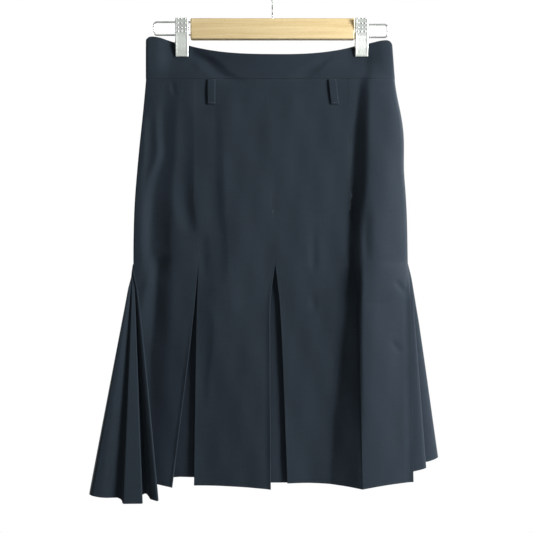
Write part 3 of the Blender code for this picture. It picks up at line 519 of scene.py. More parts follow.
def fold_lift(face, x, depth):
    """How far the folds lift the cloth off the body."""
    lift = np.zeros(np.broadcast(x, depth).shape)
    for fold in FOLDS:
        if fold.face != face:
            continue
        depths, *columns = (np.array(column) for column in zip(*fold.rows))
        place, height, left, right = (through(depths, column, depth) for column in columns)
        across = x - place
        shape = np.where(across < 0, flank(-across / left, fold.left), flank(across / right, fold.right))
        lift += np.where((depth > depths[0]) & (depth < depths[-1]), height * shape, 0.0)
    return lift


def drape(face, x, depth):
    """How far the short creases and the cloth's unevenness lift it."""
    lift = 0.0
    for crease in CREASES:
        if crease.face != face:
            continue
        run = np.array([crease.x_to - crease.x_from, crease.depth_to - crease.depth_from])
        length = np.linalg.norm(run)
        run = run / length
        dx, dz = x - crease.x_from, depth - crease.depth_from
        along, off = (dx * run[0] + dz * run[1]) / length, dx * run[1] - dz * run[0]
        ends = smooth(along / CREASE_ENDS) * smooth((1.0 - along) / CREASE_ENDS)
        lift = lift + crease.lift * ends * bell(off / crease.half)
    wave = 0.0
    for across, down, height, phase in RIPPLES:
        wave = wave + height * np.sin(2.0 * math.pi * (x / across + depth / down) + phase * (face + 2.0))
    return lift + wave * smooth((depth - SEAM) / RIPPLE_START)


def gore_surface(name, share, level):
    """Middle of a gore's cloth, for shares across it and levels down it that broadcast together."""
    gore = GORES[name]
    share, level = np.broadcast_arrays(np.asarray(share, float), np.asarray(level, float))
    (x0, y0), (x1, y1) = edge_point(gore.start, level), edge_point(gore.end, level)
    turned = 1.0 - smooth((level - RELEASE) / (KICK - RELEASE))
    chord, pulls = x1 - x0, []
    for edge, way in ((gore.start, 1.0), (gore.end, -1.0)):
        if edge.startswith("side"):
            pulls.append((chord * (1.0 - turned), way * gore.face * (SIDE_TURN[hand(edge)] * turned)))
        else:
            pulls.append((chord, 0.0))
    start, leave, end, reach = hermite(share)
    x = start * x0 + leave * pulls[0][0] + end * x1 + reach * pulls[1][0]
    y = start * y0 + leave * pulls[0][1] + end * y1 + reach * pulls[1][1]
    hem = EDGES[gore.start].hem + (EDGES[gore.end].hem - EDGES[gore.start].hem) * share
    depth = lowered(level, hem - gore.rise * 4.0 * share * (1.0 - share))
    fade = 1.0
    for edge, from_edge in ((gore.start, share), (gore.end, 1.0 - share)):
        if edge.startswith("side"):
            fade = smooth(from_edge / SIDE_FADE[hand(edge)])
    y = y + gore.face * fade * (fold_lift(gore.face, x, depth) + drape(gore.face, x, depth))
    return np.stack([x, y, -depth], axis=-1)


def trimmed(row, by):
    """The same row of points with its two ends drawn in along the cloth."""
    steps = np.linalg.norm(np.diff(row, axis=0), axis=1)
    along = np.concatenate([[0.0], np.cumsum(steps)])
    places = by + along * (1.0 - 2.0 * by / along[-1])
    return np.stack([np.interp(places, along, axis) for axis in row.T], axis=-1)


CLOSE = np.array([0.0, 0.15, 0.5, 1.0])  # places across a round edge, as shares of it


def spaced(first, last, spacing, fine=EDGE_ROUND):
    """Places from first to last, evenly spaced but closer at both ends, where the cloth's edge is round."""
    close = fine * CLOSE
    count = max(2, int(round((last - first - 4.0 * fine) / spacing)) + 1)
    even = np.linspace(first + 2.0 * fine, last - 2.0 * fine, count)
    return np.concatenate([first + close, even, last - close[::-1]])


def distance_in(middle, axis):
    """Distance of each point from the start of its row or column, and from the nearer end."""
    steps = np.linalg.norm(np.diff(middle, axis=axis), axis=2)
    start = np.zeros_like(np.take(steps, [0], axis=axis))
    along = np.concatenate([start, np.cumsum(steps, axis=axis)], axis=axis)
    return along, np.minimum(along, np.take(along, [-1], axis=axis) - along)


def cloth_shell(name, middle, thick, material, turn=0.0, edge=EDGE_ROUND):
    """Closed sheet of cloth about a grid of points, with round edges and a hem turned up inside."""
    across, down = np.gradient(middle, axis=1), np.gradient(middle, axis=0)
    outward = np.cross(down, across)
    outward /= np.linalg.norm(outward, axis=2, keepdims=True)
    along, from_side = distance_in(middle, 1)
    below, from_end = distance_in(middle, 0)
    round_off = 1.0
    for distance in (from_side, from_end):
        round_off = round_off * np.sqrt(1.0 - (1.0 - np.clip(distance / edge, 0.0, 1.0)) ** 2)
    to_hem = below[-1:] - below
    inside = thick / 2 + turn * smooth((HEM_DEEP - to_hem) / HEM_STEP)
    outer_points = middle + outward * (thick / 2 * round_off)[..., None]
    inner_points = middle - outward * (inside * round_off)[..., None]

    rows, columns = middle.shape[:2]
    rim = np.ones((rows, columns), bool)
    rim[1:-1, 1:-1] = False
    outer = np.arange(rows * columns).reshape(rows, columns)
    inner = outer.copy()
    inner[~rim] = rows * columns + np.arange((~rim).sum())
    corners = (slice(None, -1), slice(1, None))
    faces = []
    for grid, order in ((outer, ((0, 0), (1, 0), (1, 1), (0, 1))), (inner, ((0, 0), (0, 1), (1, 1), (1, 0)))):
        faces.append(np.stack([grid[corners[i], corners[j]] for i, j in order], axis=-1).reshape(-1, 4))
    points = np.vstack([outer_points.reshape(-1, 3), inner_points[~rim]]) * MM
    grain = np.stack([along - along[:, -1:] / 2, -below], axis=-1) * MM
    grain = np.vstack([grain.reshape(-1, 2), grain[~rim]])
    sheet = smooth_mesh(name, points, np.vstack(faces), material, grain)
    rubbed = np.exp(-np.minimum(from_side, from_end) / RUBBED)
    rubbed = np.concatenate([rubbed.ravel(), rubbed[~rim]])
    sheet.data.attributes.new("rubbed", "FLOAT", "POINT").data.foreach_set("value", rubbed)
    SURFACES[name] = middle, outward
    return sheet


def smooth_mesh(name, points, faces, material, grain=None):
    """Object of a mesh with one material, smooth all over."""
    mesh = bpy.data.meshes.new(name)
    mesh.from_pydata(np.asarray(points).tolist(), [], [list(face) for face in faces])
    mesh.polygons.foreach_set("use_smooth", [True] * len(mesh.polygons))
    if grain is not None:
        corner_vertices = np.zeros(len(mesh.loops), int)
        mesh.loops.foreach_get("vertex_index", corner_vertices)
        mesh.uv_layers.new(name="grain").data.foreach_set("uv", grain[corner_vertices].ravel())
    mesh.materials.append(material)
    return placed(name, mesh)


def placed(name, data):
    obj = bpy.data.objects.new(name, data)
    bpy.context.scene.collection.objects.link(obj)
    return obj


def cut(length, widths, places=(0.0, 1.0)):
    """Flat size and area of a tapered piece, in metres, from its length and its widths at places down it."""
    widths, steps = np.array(widths), np.diff(places)
    mean = float(np.sum(steps * (widths[1:] + widths[:-1]) / 2))
    return {"flat": (float(widths.max()) * MM, length * MM), "area": mean * length * MM * MM}


HIP_SHARE = (HIP - SEAM) / (HEM - SEAM)
down_gore = spaced(SEAM + SEAM_GAP / 2, HEM, GRID)[:, None]
for name, gore in GORES.items():
    wide = max(gore.waist, gore.hip, gore.hem)
    across_gore = spaced(0.0, wide, GRID)[None, :] / wide
    middle = gore_surface(name, across_gore, down_gore)
    middle = np.array([trimmed(row, SEAM_GAP / 2) for row in middle])
    panel = cloth_shell("cloth_" + name, middle, PANEL, navy, HEM_TURN)
    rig.ride(panel, "skirt")
    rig.replaces(panel, name)
    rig.slot(panel, "cloth")
    band = "waistband_front" if gore.face == FRONT else "waistband_back_" + hand(name)
    widths = (gore.waist, gore.hip, gore.hem)
    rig.sheet(panel, held="hung", rests_on=[band], **cut(gore.length, widths, (0.0, HIP_SHARE, 1.0)))

# ---------------------------------------------------------------------------------------------------------
# Kick-pleat godets. Triangles of the same worsted let into the seams from the knee down and pressed into
# inverted pleats: a return lies behind each gore's edge and an underlay joins the two behind them.

# The gores before and after each, how wide its returns are at the top and at the hem, how far its underlay is
# set back, its hem's depth, the cut's width there and its length, and how far the pleat closes at the hem
Godet = namedtuple(
    "Godet", "before after return_top return_hem set_back hem hem_width length closing", defaults=(0.0,))
GODETS = {
    "godet_front_left": Godet("front_side_left", "front_centre_left", 5, 24, 2.2, 751, 134, 315),
    "godet_front_centre": Godet("front_centre_left", "front_centre_right", 5, 30, 2.2, 758, 158, 317, 0.7),
    "godet_front_right": Godet("front_centre_right", "front_side_right", 5, 26, 6, 756, 118, 316),
    "godet_back_right": Godet("back_side_right", "back_centre_right", 5, 26, 3, 754, 136, 314),
    "godet_back_centre": Godet("back_centre_right", "back_centre_left", 5, 30, 3, 753, 152, 314),
    "godet_back_left": Godet("back_centre_left", "back_side_left", 5, 26, 3, 755, 138, 316),
}
GODET_TOP = 25.0  # width of the cut where it is let in
RETURN_START, RETURN_EASE, TURN_RADIUS = 0.3, 0.8, 0.8  # how returns fall away from the gore, and their fold
RETURN_WIDE, RETURN_GRID = 24.0, 2.4  # width of a common return, and the spacing of its points
GORE_PLACES, SLOPE_REACH = 81, 0.03  # places read across a gore, and the share to each side for its slope
UNDERLAY_LEAN, SET_BACK_EASE = 0.13, 0.4  # how the underlay leans to its left, and how soon it is set back
CLOSING_START, CLOSING_SPAN = 0.45, 0.5  # where a pleat starts to close, and over how much of its length


def return_rows(name, from_end, widths, levels, inward):
    """Points behind a gore from its edge to the fold of the godet's return, a row for each level."""
    fine = np.linspace(0.0, 1.0, GORE_PLACES)
    walls = gore_surface(name, fine[None, :], levels[:, None])
    shares = spaced(0.0, RETURN_WIDE, RETURN_GRID)[:-3] / RETURN_WIDE
    rows = []
    for wall, width, level in zip(walls, widths, levels):
        along = shares * width / np.linalg.norm(wall[-1] - wall[0])
        places = 1.0 - along if from_end else along
        at = [np.stack([np.interp(np.clip(places + step, 0, 1), fine, axis) for axis in wall.T], -1)
              for step in (0.0, -SLOPE_REACH, SLOPE_REACH)]
        run = (at[2] - at[1])[:, :2]
        off = np.stack([-run[:, 1], run[:, 0]], -1) / np.linalg.norm(run, axis=1, keepdims=True)
        off *= inward * np.sign(off[:, 1:])
        stand = CLOTH + LAYER_GAP + shares * (RETURN_START + RETURN_EASE * pleat_share(level))
        at[0][:, :2] += off * stand[:, None]
        rows.append(at[0])
    return np.array(rows)


godet_levels = spaced(RELEASE, HEM, GRID)
for name, godet in GODETS.items():
    inward = -GORES[godet.before].face
    shares = pleat_share(godet_levels)
    widths = godet.return_top + (godet.return_hem - godet.return_top) * shares
    firsts = return_rows(godet.before, True, widths, godet_levels, inward)
    lasts = return_rows(godet.after, False, widths, godet_levels, inward)[:, ::-1]
    middle = []
    for first, last, share, level in zip(firsts, lasts, shares, godet_levels):
        under, way = -lowered(level, godet.hem), np.sign(first[0][0] - first[-1][0])
        turns = []
        for end, side in ((first[-1], -way), (last[0], way)):
            steps = np.linspace(0.0, 1.0, 8)[1:, None]
            across, behind = side * np.sin(math.pi * steps), inward * (1 - np.cos(math.pi * steps))
            turn = end + np.hstack([across, behind, 0.0 * steps]) * TURN_RADIUS
            turn[:, 2:] = end[2] + (under - end[2]) * steps
            turns.append(turn)
        before, after = turns[0], turns[1][::-1]
        places = np.linspace(0.0, 1.0, 41)[1:-1, None]
        underlay = before[-1] + (after[0] - before[-1]) * places
        ends = sorted((first[0][0], last[-1][0]))
        leftward = ends[1] - np.clip(underlay[:, :1], *ends)
        deeper = godet.set_back * share**SET_BACK_EASE + UNDERLAY_LEAN * leftward
        deeper *= 1.0 - godet.closing * smooth((share - CLOSING_START) / CLOSING_SPAN)
        underlay[:, 1:2] += inward * deeper * smooth(np.sin(math.pi * places) * 3.0)
        middle.append(trimmed(np.vstack([first, before, underlay, after, last]), SEAM_GAP / 2))
    pleat = cloth_shell("cloth_" + name, np.array(middle), PANEL, navy, HEM_TURN)
    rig.ride(pleat, "skirt")
    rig.replaces(pleat, name)
    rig.slot(pleat, "cloth")
    rests = ["cloth_" + godet.before, "cloth_" + godet.after]
    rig.sheet(pleat, held="folded", rests_on=rests, **cut(godet.length, (GODET_TOP, godet.hem_width)))

# ---------------------------------------------------------------------------------------------------------
# Side godets. The two at the side seams are fuller, and hang outside the gores in soft uneven folds from
# the point where each is let in.

# The edges that each hangs from, its outline across the body, how far its front edge is tucked in, the cut's
# width at the hem and its length, and its folds in order round the hem: place across the body and off the
# hanger's plane, the hem's depth, and how late the fold swings across and stands off (1 is straight down)
SideGodet = namedtuple("SideGodet", "front_edge back_edge outline tuck hem_width length folds")
SideFold = namedtuple("SideFold", "x y hem swing stand", defaults=(1.0, 1.0))
SIDE_GODETS = {
    "godet_side_left": SideGodet("side_left_front", "side_left_back", -262.0, -0.6, 362.0, 318.0, (
        (-190, -24, 765, 1, 0.8), (-184, -30, 768, 0.6, 0.7), (-168, -43, 774, 0.68, 0.6),
        (-163.4, -48.6, 776, 0.68, 0.6), (-161, -51.2, 777, 0.68, 0.6), (-162.8, -52, 778, 0.68, 0.6),
        (-167, -50.6, 777, 0.68, 0.6), (-172, -48, 776, 0.66, 0.6), (-176, -43, 772, 0.6, 0.6),
        (-180.5, -38.5, 770, 0.45, 0.65), (-186, -42, 773, 0.6, 0.65), (-186.5, -49, 778, 0.6, 0.65),
        (-183, -53.5, 780, 0.6, 0.65), (-184, -54.8, 781, 0.6, 0.65), (-188, -55, 781, 0.7, 0.65),
        (-208.5, -56, 781, 1.15, 0.65), (-210.5, -55, 780, 1.1, 0.65), (-212, -52, 777, 1.05, 0.65),
        (-215, -50, 775, 1, 0.65), (-220, -47.5, 774, 1, 0.65), (-232, -49, 774, 1, 0.65),
        (-244, -50.5, 773, 1, 0.65), (-254, -50, 771, 1, 0.65), (-259, -43, 769.5, 1, 0.7),
        (-260.2, -14, 769, 1, 0.8), (-256, 30, 768), (-240, 44, 767), (-226, 40, 766), (-214, 54, 766),
        (-203, 58, 766),
    )),
    "godet_side_right": SideGodet("side_right_front", "side_right_back", 249.0, 1.8, 212.0, 310.0, (
        (196, 6.5, 757), (190, 10, 756), (187, 14, 755), (191, 17.5, 753), (207, 20, 750), (223, 25.5, 747),
        (226.5, 29.5, 746), (222, 32, 745), (211, 32, 744), (207, 36, 743), (212, 40, 742), (232, 47, 740),
        (245.5, 56, 737), (249, 62, 736), (243.5, 66, 738), (232, 64, 742), (220, 57, 747), (208, 62, 752),
        (200, 56, 755),
    )),
}
CORNER_GAP, SIDE_START, SIDE_TOP_WIDTH = 0.6, 445.5, 14.0  # gap at the edges, the top, the cut's width there
FOLD_SPAN = {"left": 0.12, "right": 0.3}  # share of the length over which the folds form
SIDE_ROUNDING, ROUNDING_SPAN = 1.5, 0.12  # bulge at the top, and the share over which it grows

for name, side in SIDE_GODETS.items():
    way = hand(name)
    count = len(side.folds) + 2
    columns = spaced(0.0, side.hem_width, GRID * 0.8) / side.hem_width * (count - 1)
    spans = np.arange(count)
    edges = (side.front_edge, side.back_edge)
    corners = np.array([np.array(edge_point(edge, HEM)).ravel() for edge in edges])
    middle = []
    for level in spaced(SIDE_START, HEM, GRID):
        share = float(pleat_share(level))
        folded = float(smooth(share / FOLD_SPAN[way]))
        front, back = (np.array(edge_point(edge, level)).ravel() for edge in edges)
        front[1] += side.tuck * folded
        rounding = SIDE_ROUNDING * float(smooth(share / ROUNDING_SPAN))
        bulge = math.copysign(rounding, side.outline) + (side.outline - corners[:, 0].mean()) * share
        row = []
        for i in range(count):
            place = i / (count - 1)
            point, hem = (front, back)[i > 0], EDGES[edges[i > 0]].hem
            if 0 < i < count - 1:
                fold = SideFold(*side.folds[i - 1])
                base = front + (back - front) * place
                arc = base + np.array([bulge * math.sin(math.pi * place) ** 2, 0.0])
                offset = np.array([fold.x, fold.y]) - (corners[0] + (corners[1] - corners[0]) * place)
                offset = offset * share ** np.array([fold.swing, fold.stand])
                point, hem = arc + (base + offset - arc) * folded, fold.hem
            row.append([point[0], point[1], -lowered(level, hem)])
        row = np.array(row)
        row = np.stack([through(spans, axis, columns) for axis in row.T], axis=-1)
        if side.outline < 0:
            row = row[::-1]
        middle.append(trimmed(row, CORNER_GAP))
    flare = cloth_shell("cloth_" + name, np.array(middle), PANEL, navy, HEM_TURN)
    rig.ride(flare, "skirt")
    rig.replaces(flare, name)
    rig.slot(flare, "cloth")
    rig.sheet(flare, held="hung", rests_on=["cloth_front_side_" + way, "cloth_back_side_" + way],
             **cut(side.length, (SIDE_TOP_WIDTH, side.hem_width)))

# ---------------------------------------------------------------------------------------------------------
# Waistband. A shaped band of the same worsted, doubled over interfacing: one piece across the front and two
# behind, which meet at the zip. The clips pinch its front and back together near the sides.

# Each pair is for the left and the right
CLIP_X, CLIP_TOP = (-131.7, 128.2), (125.5, 127.5)  # the clips' middles, and the waist edge under them
SIDE_TOP, WAIST_SAG, WAIST_FLAT = (116.3, 121.3), {FRONT: 16.0, BACK: 19.0}, 2.6  # that edge elsewhere
PINCH, PINCH_HALF, PINCH_END, MOUTH = 1.25, 16.0, 147.0, 8.0  # pinched stand-off, its reach, the open mouth
SIDE_BULGE, CORNER, SIDE_ROUND = (5.0, 3.0), 8.0, (1.4, 16.0)  # the band beyond the clips, and its corners
BULGE_SPAN, FALL_SPAN = 0.6, 0.85  # share of the way to the side over which it bulges, and its top falls
SIDE_OUTLINE = (EDGES["side_left_front"].x[0], EDGES["side_right_front"].x[0])
TOP_SHRINK = (0.0, 4.0)  # how far the waist edge draws in at the side
BAND, BAND_ROUND, BAND_DEEP = 1.9, 0.35, 60.0  # thickness, round of its edges, and depth of its cut
BANDS = {
    "waistband_front": ("front_side_left", "front_centre_left", "front_centre_right", "front_side_right"),
    "waistband_back_right": ("back_side_right", "back_centre_right"),
    "waistband_back_left": ("back_centre_left", "back_side_left"),
}
BAND_CUT = {  # length and mean depth of each cut
    "waistband_front": (366.0, 46.0),
    "waistband_back_right": (178.0, 43.5),
    "waistband_back_left": (187.0, 45.0),
}


def waist_edge(face, x):
    """Stand-off and depth of the waist edge at places across the body."""
    left, right = CLIP_X
    share = np.clip((x - left) / (right - left), 0.0, 1.0)
    sag = WAIST_SAG[face] * (1.0 - np.abs(2.0 * share - 1.0) ** WAIST_FLAT)
    loose = np.clip((x - left - PINCH_HALF) / (right - left - 2.0 * PINCH_HALF), 0.0, 1.0)
    stand = PINCH + MOUTH * 4.0 * loose * (1.0 - loose)
    depth = CLIP_TOP[0] + (CLIP_TOP[1] - CLIP_TOP[0]) * share + sag
    for side, beyond in ((0, x < left), (1, x > right)):
        outer = abs(SIDE_OUTLINE[side])
        from_clip, span = np.abs(x) - abs(CLIP_X[side]), outer - abs(CLIP_X[side])
        corner, turn = (
            np.sqrt(np.clip(1.0 - (1.0 - np.clip((outer - np.abs(x)) / reach, 0.0, 1.0)) ** 2, 0.0, 1.0))
            for reach in (CORNER, SIDE_ROUND[side])
        )
        bulged = smooth((from_clip - PINCH_HALF) / (span - PINCH_HALF) / BULGE_SPAN)
        stood = PINCH + (SIDE_BULGE[side] - PINCH) * bulged
        fallen = CLIP_TOP[side] + (SIDE_TOP[side] - CLIP_TOP[side]) * smooth(from_clip / span / FALL_SPAN)
        stand = np.where(beyond, stood * turn, stand)
        depth = np.where(beyond, fallen + CORNER * (1.0 - corner), depth)
    return stand, depth


def band_surface(gore_name, share, down):
    """Middle of the waistband above a gore: down runs from the waist edge, 0, to the seam, 1."""
    face = GORES[gore_name].face
    seam = gore_surface(gore_name, share, SEAM)
    x, y = seam[..., 0], seam[..., 1]
    stand, top = waist_edge(face, x)
    shrink = -np.where(x < 0, TOP_SHRINK[0], TOP_SHRINK[1]) * x / SIDE_OUTLINE[1]
    depth = top + (SEAM - top) * down
    opened = smooth((depth - PINCH_END) / (SEAM - PINCH_END))
    y = face * stand + (y - face * stand) * opened
    y = y + face * (fold_lift(face, x, depth) - fold_lift(face, x, SEAM) * opened)
    return np.stack(np.broadcast_arrays(x + shrink * (1.0 - down), y, -depth), -1)


band_down = spaced(0.0, 1.0, 0.05, BAND_ROUND / BAND_DEEP)[:, None]
for name, gore_names in BANDS.items():
    parts = []
    for place, gore_name in enumerate(gore_names):
        wide = GORES[gore_name].waist
        share = np.linspace(0.0, 1.0, int(wide / GRID) + 1)
        if place == 0:
            share = np.concatenate([CLOSE * BAND_ROUND / wide, share[1:]])
        if place == len(gore_names) - 1:
            share = np.concatenate([share[:-1], 1.0 - CLOSE[::-1] * BAND_ROUND / wide])
        parts.append(band_surface(gore_name, share[None, :], band_down)[:, 1 if place else 0:])
    middle = np.array([trimmed(row, SEAM_GAP) for row in np.concatenate(parts, axis=1)])
    band = cloth_shell("cloth_" + name, middle, BAND, navy, edge=BAND_ROUND)
    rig.ride(band, "skirt")
    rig.replaces(band, name)
    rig.slot(band, "cloth")
    long, deep = BAND_CUT[name]
    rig.sheet(band, flat=(long * MM, BAND_DEEP * MM), held="hung",
             rests_on=["clip_front_left", "clip_front_right"], area=long * deep * MM * MM)

# ---------------------------------------------------------------------------------------------------------
# Belt loops. Narrow strips of the worsted, folded double, caught in the waistband's seam at the top and
# tacked down through the gores below.

Loop = namedtuple("Loop", "gore x lean")
LOOPS = {
    "belt_loop_front_left": Loop("front_centre_left", -88.8, 0),
    "belt_loop_front_right": Loop("front_centre_right", 85.4, 4),
    "belt_loop_back_right": Loop("back_centre_right", 86, 0),
    "belt_loop_back_left": Loop("back_centre_left", -86, 0),
}
LOOP_WIDTH, LOOP_LENGTH, LOOP_CUT, LOOP_THICK, LOOP_ROUND = 11.5, 36.0, 38.0, 1.3, 0.55
LOOP_TOP, LOOP_GAP = 1.0, 0.2  # below the band's seam, and off the gore at its ends
# Shares of a loop's length, and how far it bows off the gore there
LOOP_DOWNS, LOOP_LIFTS = (0.0, 0.1, 0.24, 0.5, 0.76, 0.9, 1.0), (0.0, 0.15, 0.4, 0.5, 0.4, 0.2, 0.0)


def on_gore(name, x, level):
    """Points of a gore's middle at places across the body, at one level."""
    fine = np.linspace(0.0, 1.0, 241)
    row = gore_surface(name, fine, level)
    order = np.argsort(row[:, 0])
    return np.stack([np.interp(x, row[order, 0], row[order, axis]) for axis in range(3)], axis=-1)


for name, loop in LOOPS.items():
    face = GORES[loop.gore].face
    middle = []
    for down in spaced(0.0, LOOP_LENGTH, 1.0) / LOOP_LENGTH:
        x = loop.x + loop.lean * down + spaced(-LOOP_WIDTH / 2, LOOP_WIDTH / 2, 1.0)
        row = on_gore(loop.gore, x, SEAM + LOOP_TOP + down * LOOP_LENGTH)
        row[:, 1] += face * (CLOTH + LOOP_GAP + through(LOOP_DOWNS, LOOP_LIFTS, down))
        middle.append(row if face == FRONT else row[::-1])
    strip = cloth_shell("cloth_" + name, np.array(middle), LOOP_THICK, navy, edge=LOOP_ROUND)
    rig.ride(strip, "skirt")
    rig.replaces(strip, name)
    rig.slot(strip, "cloth")
    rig.sheet(strip, flat=(LOOP_WIDTH * MM, LOOP_CUT * MM), held="hung", rests_on=["cloth_" + loop.gore])

# ---------------------------------------------------------------------------------------------------------
# Hanger bar. One length of pale, close-grained hardwood with eased edges, planed and lacquered. It is bored
# in its top for the hook and in its ends for the wire loops.

BAR_ENDS, BAR_DEPTHS, BAR_THICK, BAR_ROUND = (-119.1, 118.2), (89.9, 120.3), 14.0, 2.2
BAR_MIDDLE, BAR_HALF = sum(BAR_DEPTHS) / 2, (BAR_DEPTHS[1] - BAR_DEPTHS[0]) / 2
# Radii of the two wires, how deep their bores are, how much wider, and how far the drill starts outside
HOOK_WIRE, SHANK_BORE, WIRE, WIRE_BORE, BORE_CLEARANCE, DRILL_OUT = 1.6, 12.0, 1.25, 14.0, 0.3, 5.0
WIRE_LOOPS = {  # far end across the body, and the depths of the two legs
    "wire_loop_left": (-172.5, (94.5, 113.2)),
    "wire_loop_right": (166.5, (98.0, 116.4)),
}


def skin(name, rings, material, sharp=35.0):
    """Closed skin through rings of points, with flat ends, smooth but where it bends sharply."""
    count, last = len(rings[0]), len(rings) - 1
    faces = [tuple(range(count)), tuple(range(last * count, (last + 1) * count))]
    for i in range(last):
        for j in range(count):
            a, b = i * count + j, i * count + (j + 1) % count
            faces.append((a, b, b + count, a + count))
    obj = smooth_mesh(name, np.concatenate(rings) * MM, faces, material)
    tidy(obj, sharp)
    return obj


def tidy(obj, sharp=35.0):
    """Turns the faces outward and marks the sharp edges."""
    mesh = bmesh.new()
    mesh.from_mesh(obj.data)
    bmesh.ops.recalc_face_normals(mesh, faces=mesh.faces)
    mesh.to_mesh(obj.data)
    mesh.free()
    obj.data.set_sharp_from_angle(angle=math.radians(sharp))


def rounded(half_a, half_b, radius, steps=5):
    """Ring of places round a rectangle with round corners."""
    ring = []
    for quarter, (a, b) in enumerate(((1, 1), (-1, 1), (-1, -1), (1, -1))):
        for turn in np.linspace(0.0, math.pi / 2, steps) + quarter * math.pi / 2:
            ring.append((a * (half_a - radius) + radius * math.cos(turn),
                         b * (half_b - radius) + radius * math.sin(turn)))
    return np.array(ring)


def bore(obj, first, last, radius):
    """Drills a round hole between two points."""
    run = Vector(last) - Vector(first)
    turn = run.to_track_quat("Z", "Y").to_matrix()
    ring = [turn @ Vector((radius * math.cos(a), radius * math.sin(a), 0.0)) for a in circle(28)]
    rings = [[Vector(centre) + spoke for spoke in ring] for centre in (first, last)]
    combine(obj, skin("drill", np.array(rings), obj.data.materials[0]), "DIFFERENCE")


def circle(steps):
    return np.linspace(0.0, 2.0 * math.pi, steps + 1)[:-1]


def combine(obj, tool, operation):
    """Cuts one object by another, or joins them into one skin."""
    cut = obj.modifiers.new("combine", "BOOLEAN")
    cut.operation, cut.solver, cut.object = operation, "EXACT", tool
    settle(obj)
    bpy.data.objects.remove(tool)


def settle(obj):
    """Gives an object the mesh that its modifiers make."""
    graph = bpy.context.evaluated_depsgraph_get()
    changed = obj.evaluated_get(graph)
    made = bpy.data.meshes.new_from_object(changed, preserve_all_data_layers=True, depsgraph=graph)
    obj.modifiers.clear()
    obj.data = made


def beech():
    """Long fibres along the bar, faint growth bands, short dark flecks, and painted shade along its top and bottom
    edges.
    """
    wood = Finish("lacquered_beech", Coat_Weight=0.35, Coat_Roughness=0.22, Specular_IOR_Level=0.4)
    bands = wood.noise(wood.stretched(3.0, 40.0, 120.0), 1.0, 3.0, 0.6)
    fibre = wood.noise(wood.stretched(18.0, 900.0, 1500.0), 1.0, 3.0, 0.6)
    flecks = wood.noise(wood.stretched(260.0, 1200.0, 3200.0), 1.0, 1.0)
    fleck = wood.spread(flecks, 0.62, 0.72)
    tone = wood.spread(bands * 0.7 + fibre * 0.5, 0.38, 0.82)
    colour = wood.mix(tone, (0.62, 0.44, 0.205, 1.0), (0.87, 0.70, 0.42, 1.0))
    colour = wood.mix(fleck * 0.35, colour, (0.36, 0.21, 0.09, 1.0))
    # Painted shade: the top and bottom edges, where the bar rounds away from the light, are darkened in the colour; the
    # same mask also roughens them
    from_middle = (wood.place("Z") + BAR_MIDDLE * MM).math("ABSOLUTE")
    edge = wood.spread(from_middle + (fibre - 0.5) * 0.001, 0.0136, 0.0153)
    colour = wood.mix(edge * 0.5, colour, (0.40, 0.25, 0.11, 1.0))
    rough = wood.spread(fibre + edge * 0.3, 0.3, 0.9, 0.34, 0.5)
    return wood.finish(colour, rough, fibre * 0.5 + bands * 0.3 - fleck * 0.4, 0.00008, 0.5)


bar_rings = []
for end, way in zip(BAR_ENDS, (1.0, -1.0)):
    turns = np.radians((8.0, 30.0, 50.0, 70.0, 90.0))
    for turn in turns if way > 0 else turns[::-1]:
        inset = BAR_ROUND * (1.0 - math.sin(turn))
        x = end + way * BAR_ROUND * (1.0 - math.cos(turn))
        ring = rounded(BAR_THICK / 2 - inset, BAR_HALF - inset, BAR_ROUND - inset)
        bar_rings.append([(x, y, z - BAR_MIDDLE) for y, z in ring])
wooden_bar = skin("wooden_bar", np.array(bar_rings), beech())
top = -BAR_DEPTHS[0]
bore(wooden_bar, (0.0, 0.0, top - SHANK_BORE), (0.0, 0.0, DRILL_OUT + top), HOOK_WIRE + BORE_CLEARANCE)
for end, legs in WIRE_LOOPS.values():
    way, bar_end = (-1.0, BAR_ENDS[0]) if end < 0 else (1.0, BAR_ENDS[1])
    for leg in legs:
        first, last = (bar_end - way * WIRE_BORE, 0.0, -leg), (bar_end + way * DRILL_OUT, 0.0, -leg)
        bore(wooden_bar, first, last, WIRE + BORE_CLEARANCE)
tidy(wooden_bar)
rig.ride(wooden_bar, "skirt")
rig.replaces(wooden_bar, "hanger_bar")
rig.slot(wooden_bar, "wood")

# ---------------------------------------------------------------------------------------------------------
# Hook and wire loops. Drawn steel wire, bent cold and bright plated: the hook goes over a rail and down into
# the bar, and each loop leaves one end of the bar and carries a clip.

HOOK_INSIDE, HOOK_LEAVES, HOOK_TIP = 19.0, math.radians(215.0), math.radians(-25.0)  # radius, and its ends
SHANK_TOP, NECK_PULL = 74.0, 1.1  # where the neck leaves the shank, and how full its curve is
WIRE_BEND, BORE_SPARE = 5.0, 0.3  # radius of a loop's corners, and how far a wire stops short in its bore


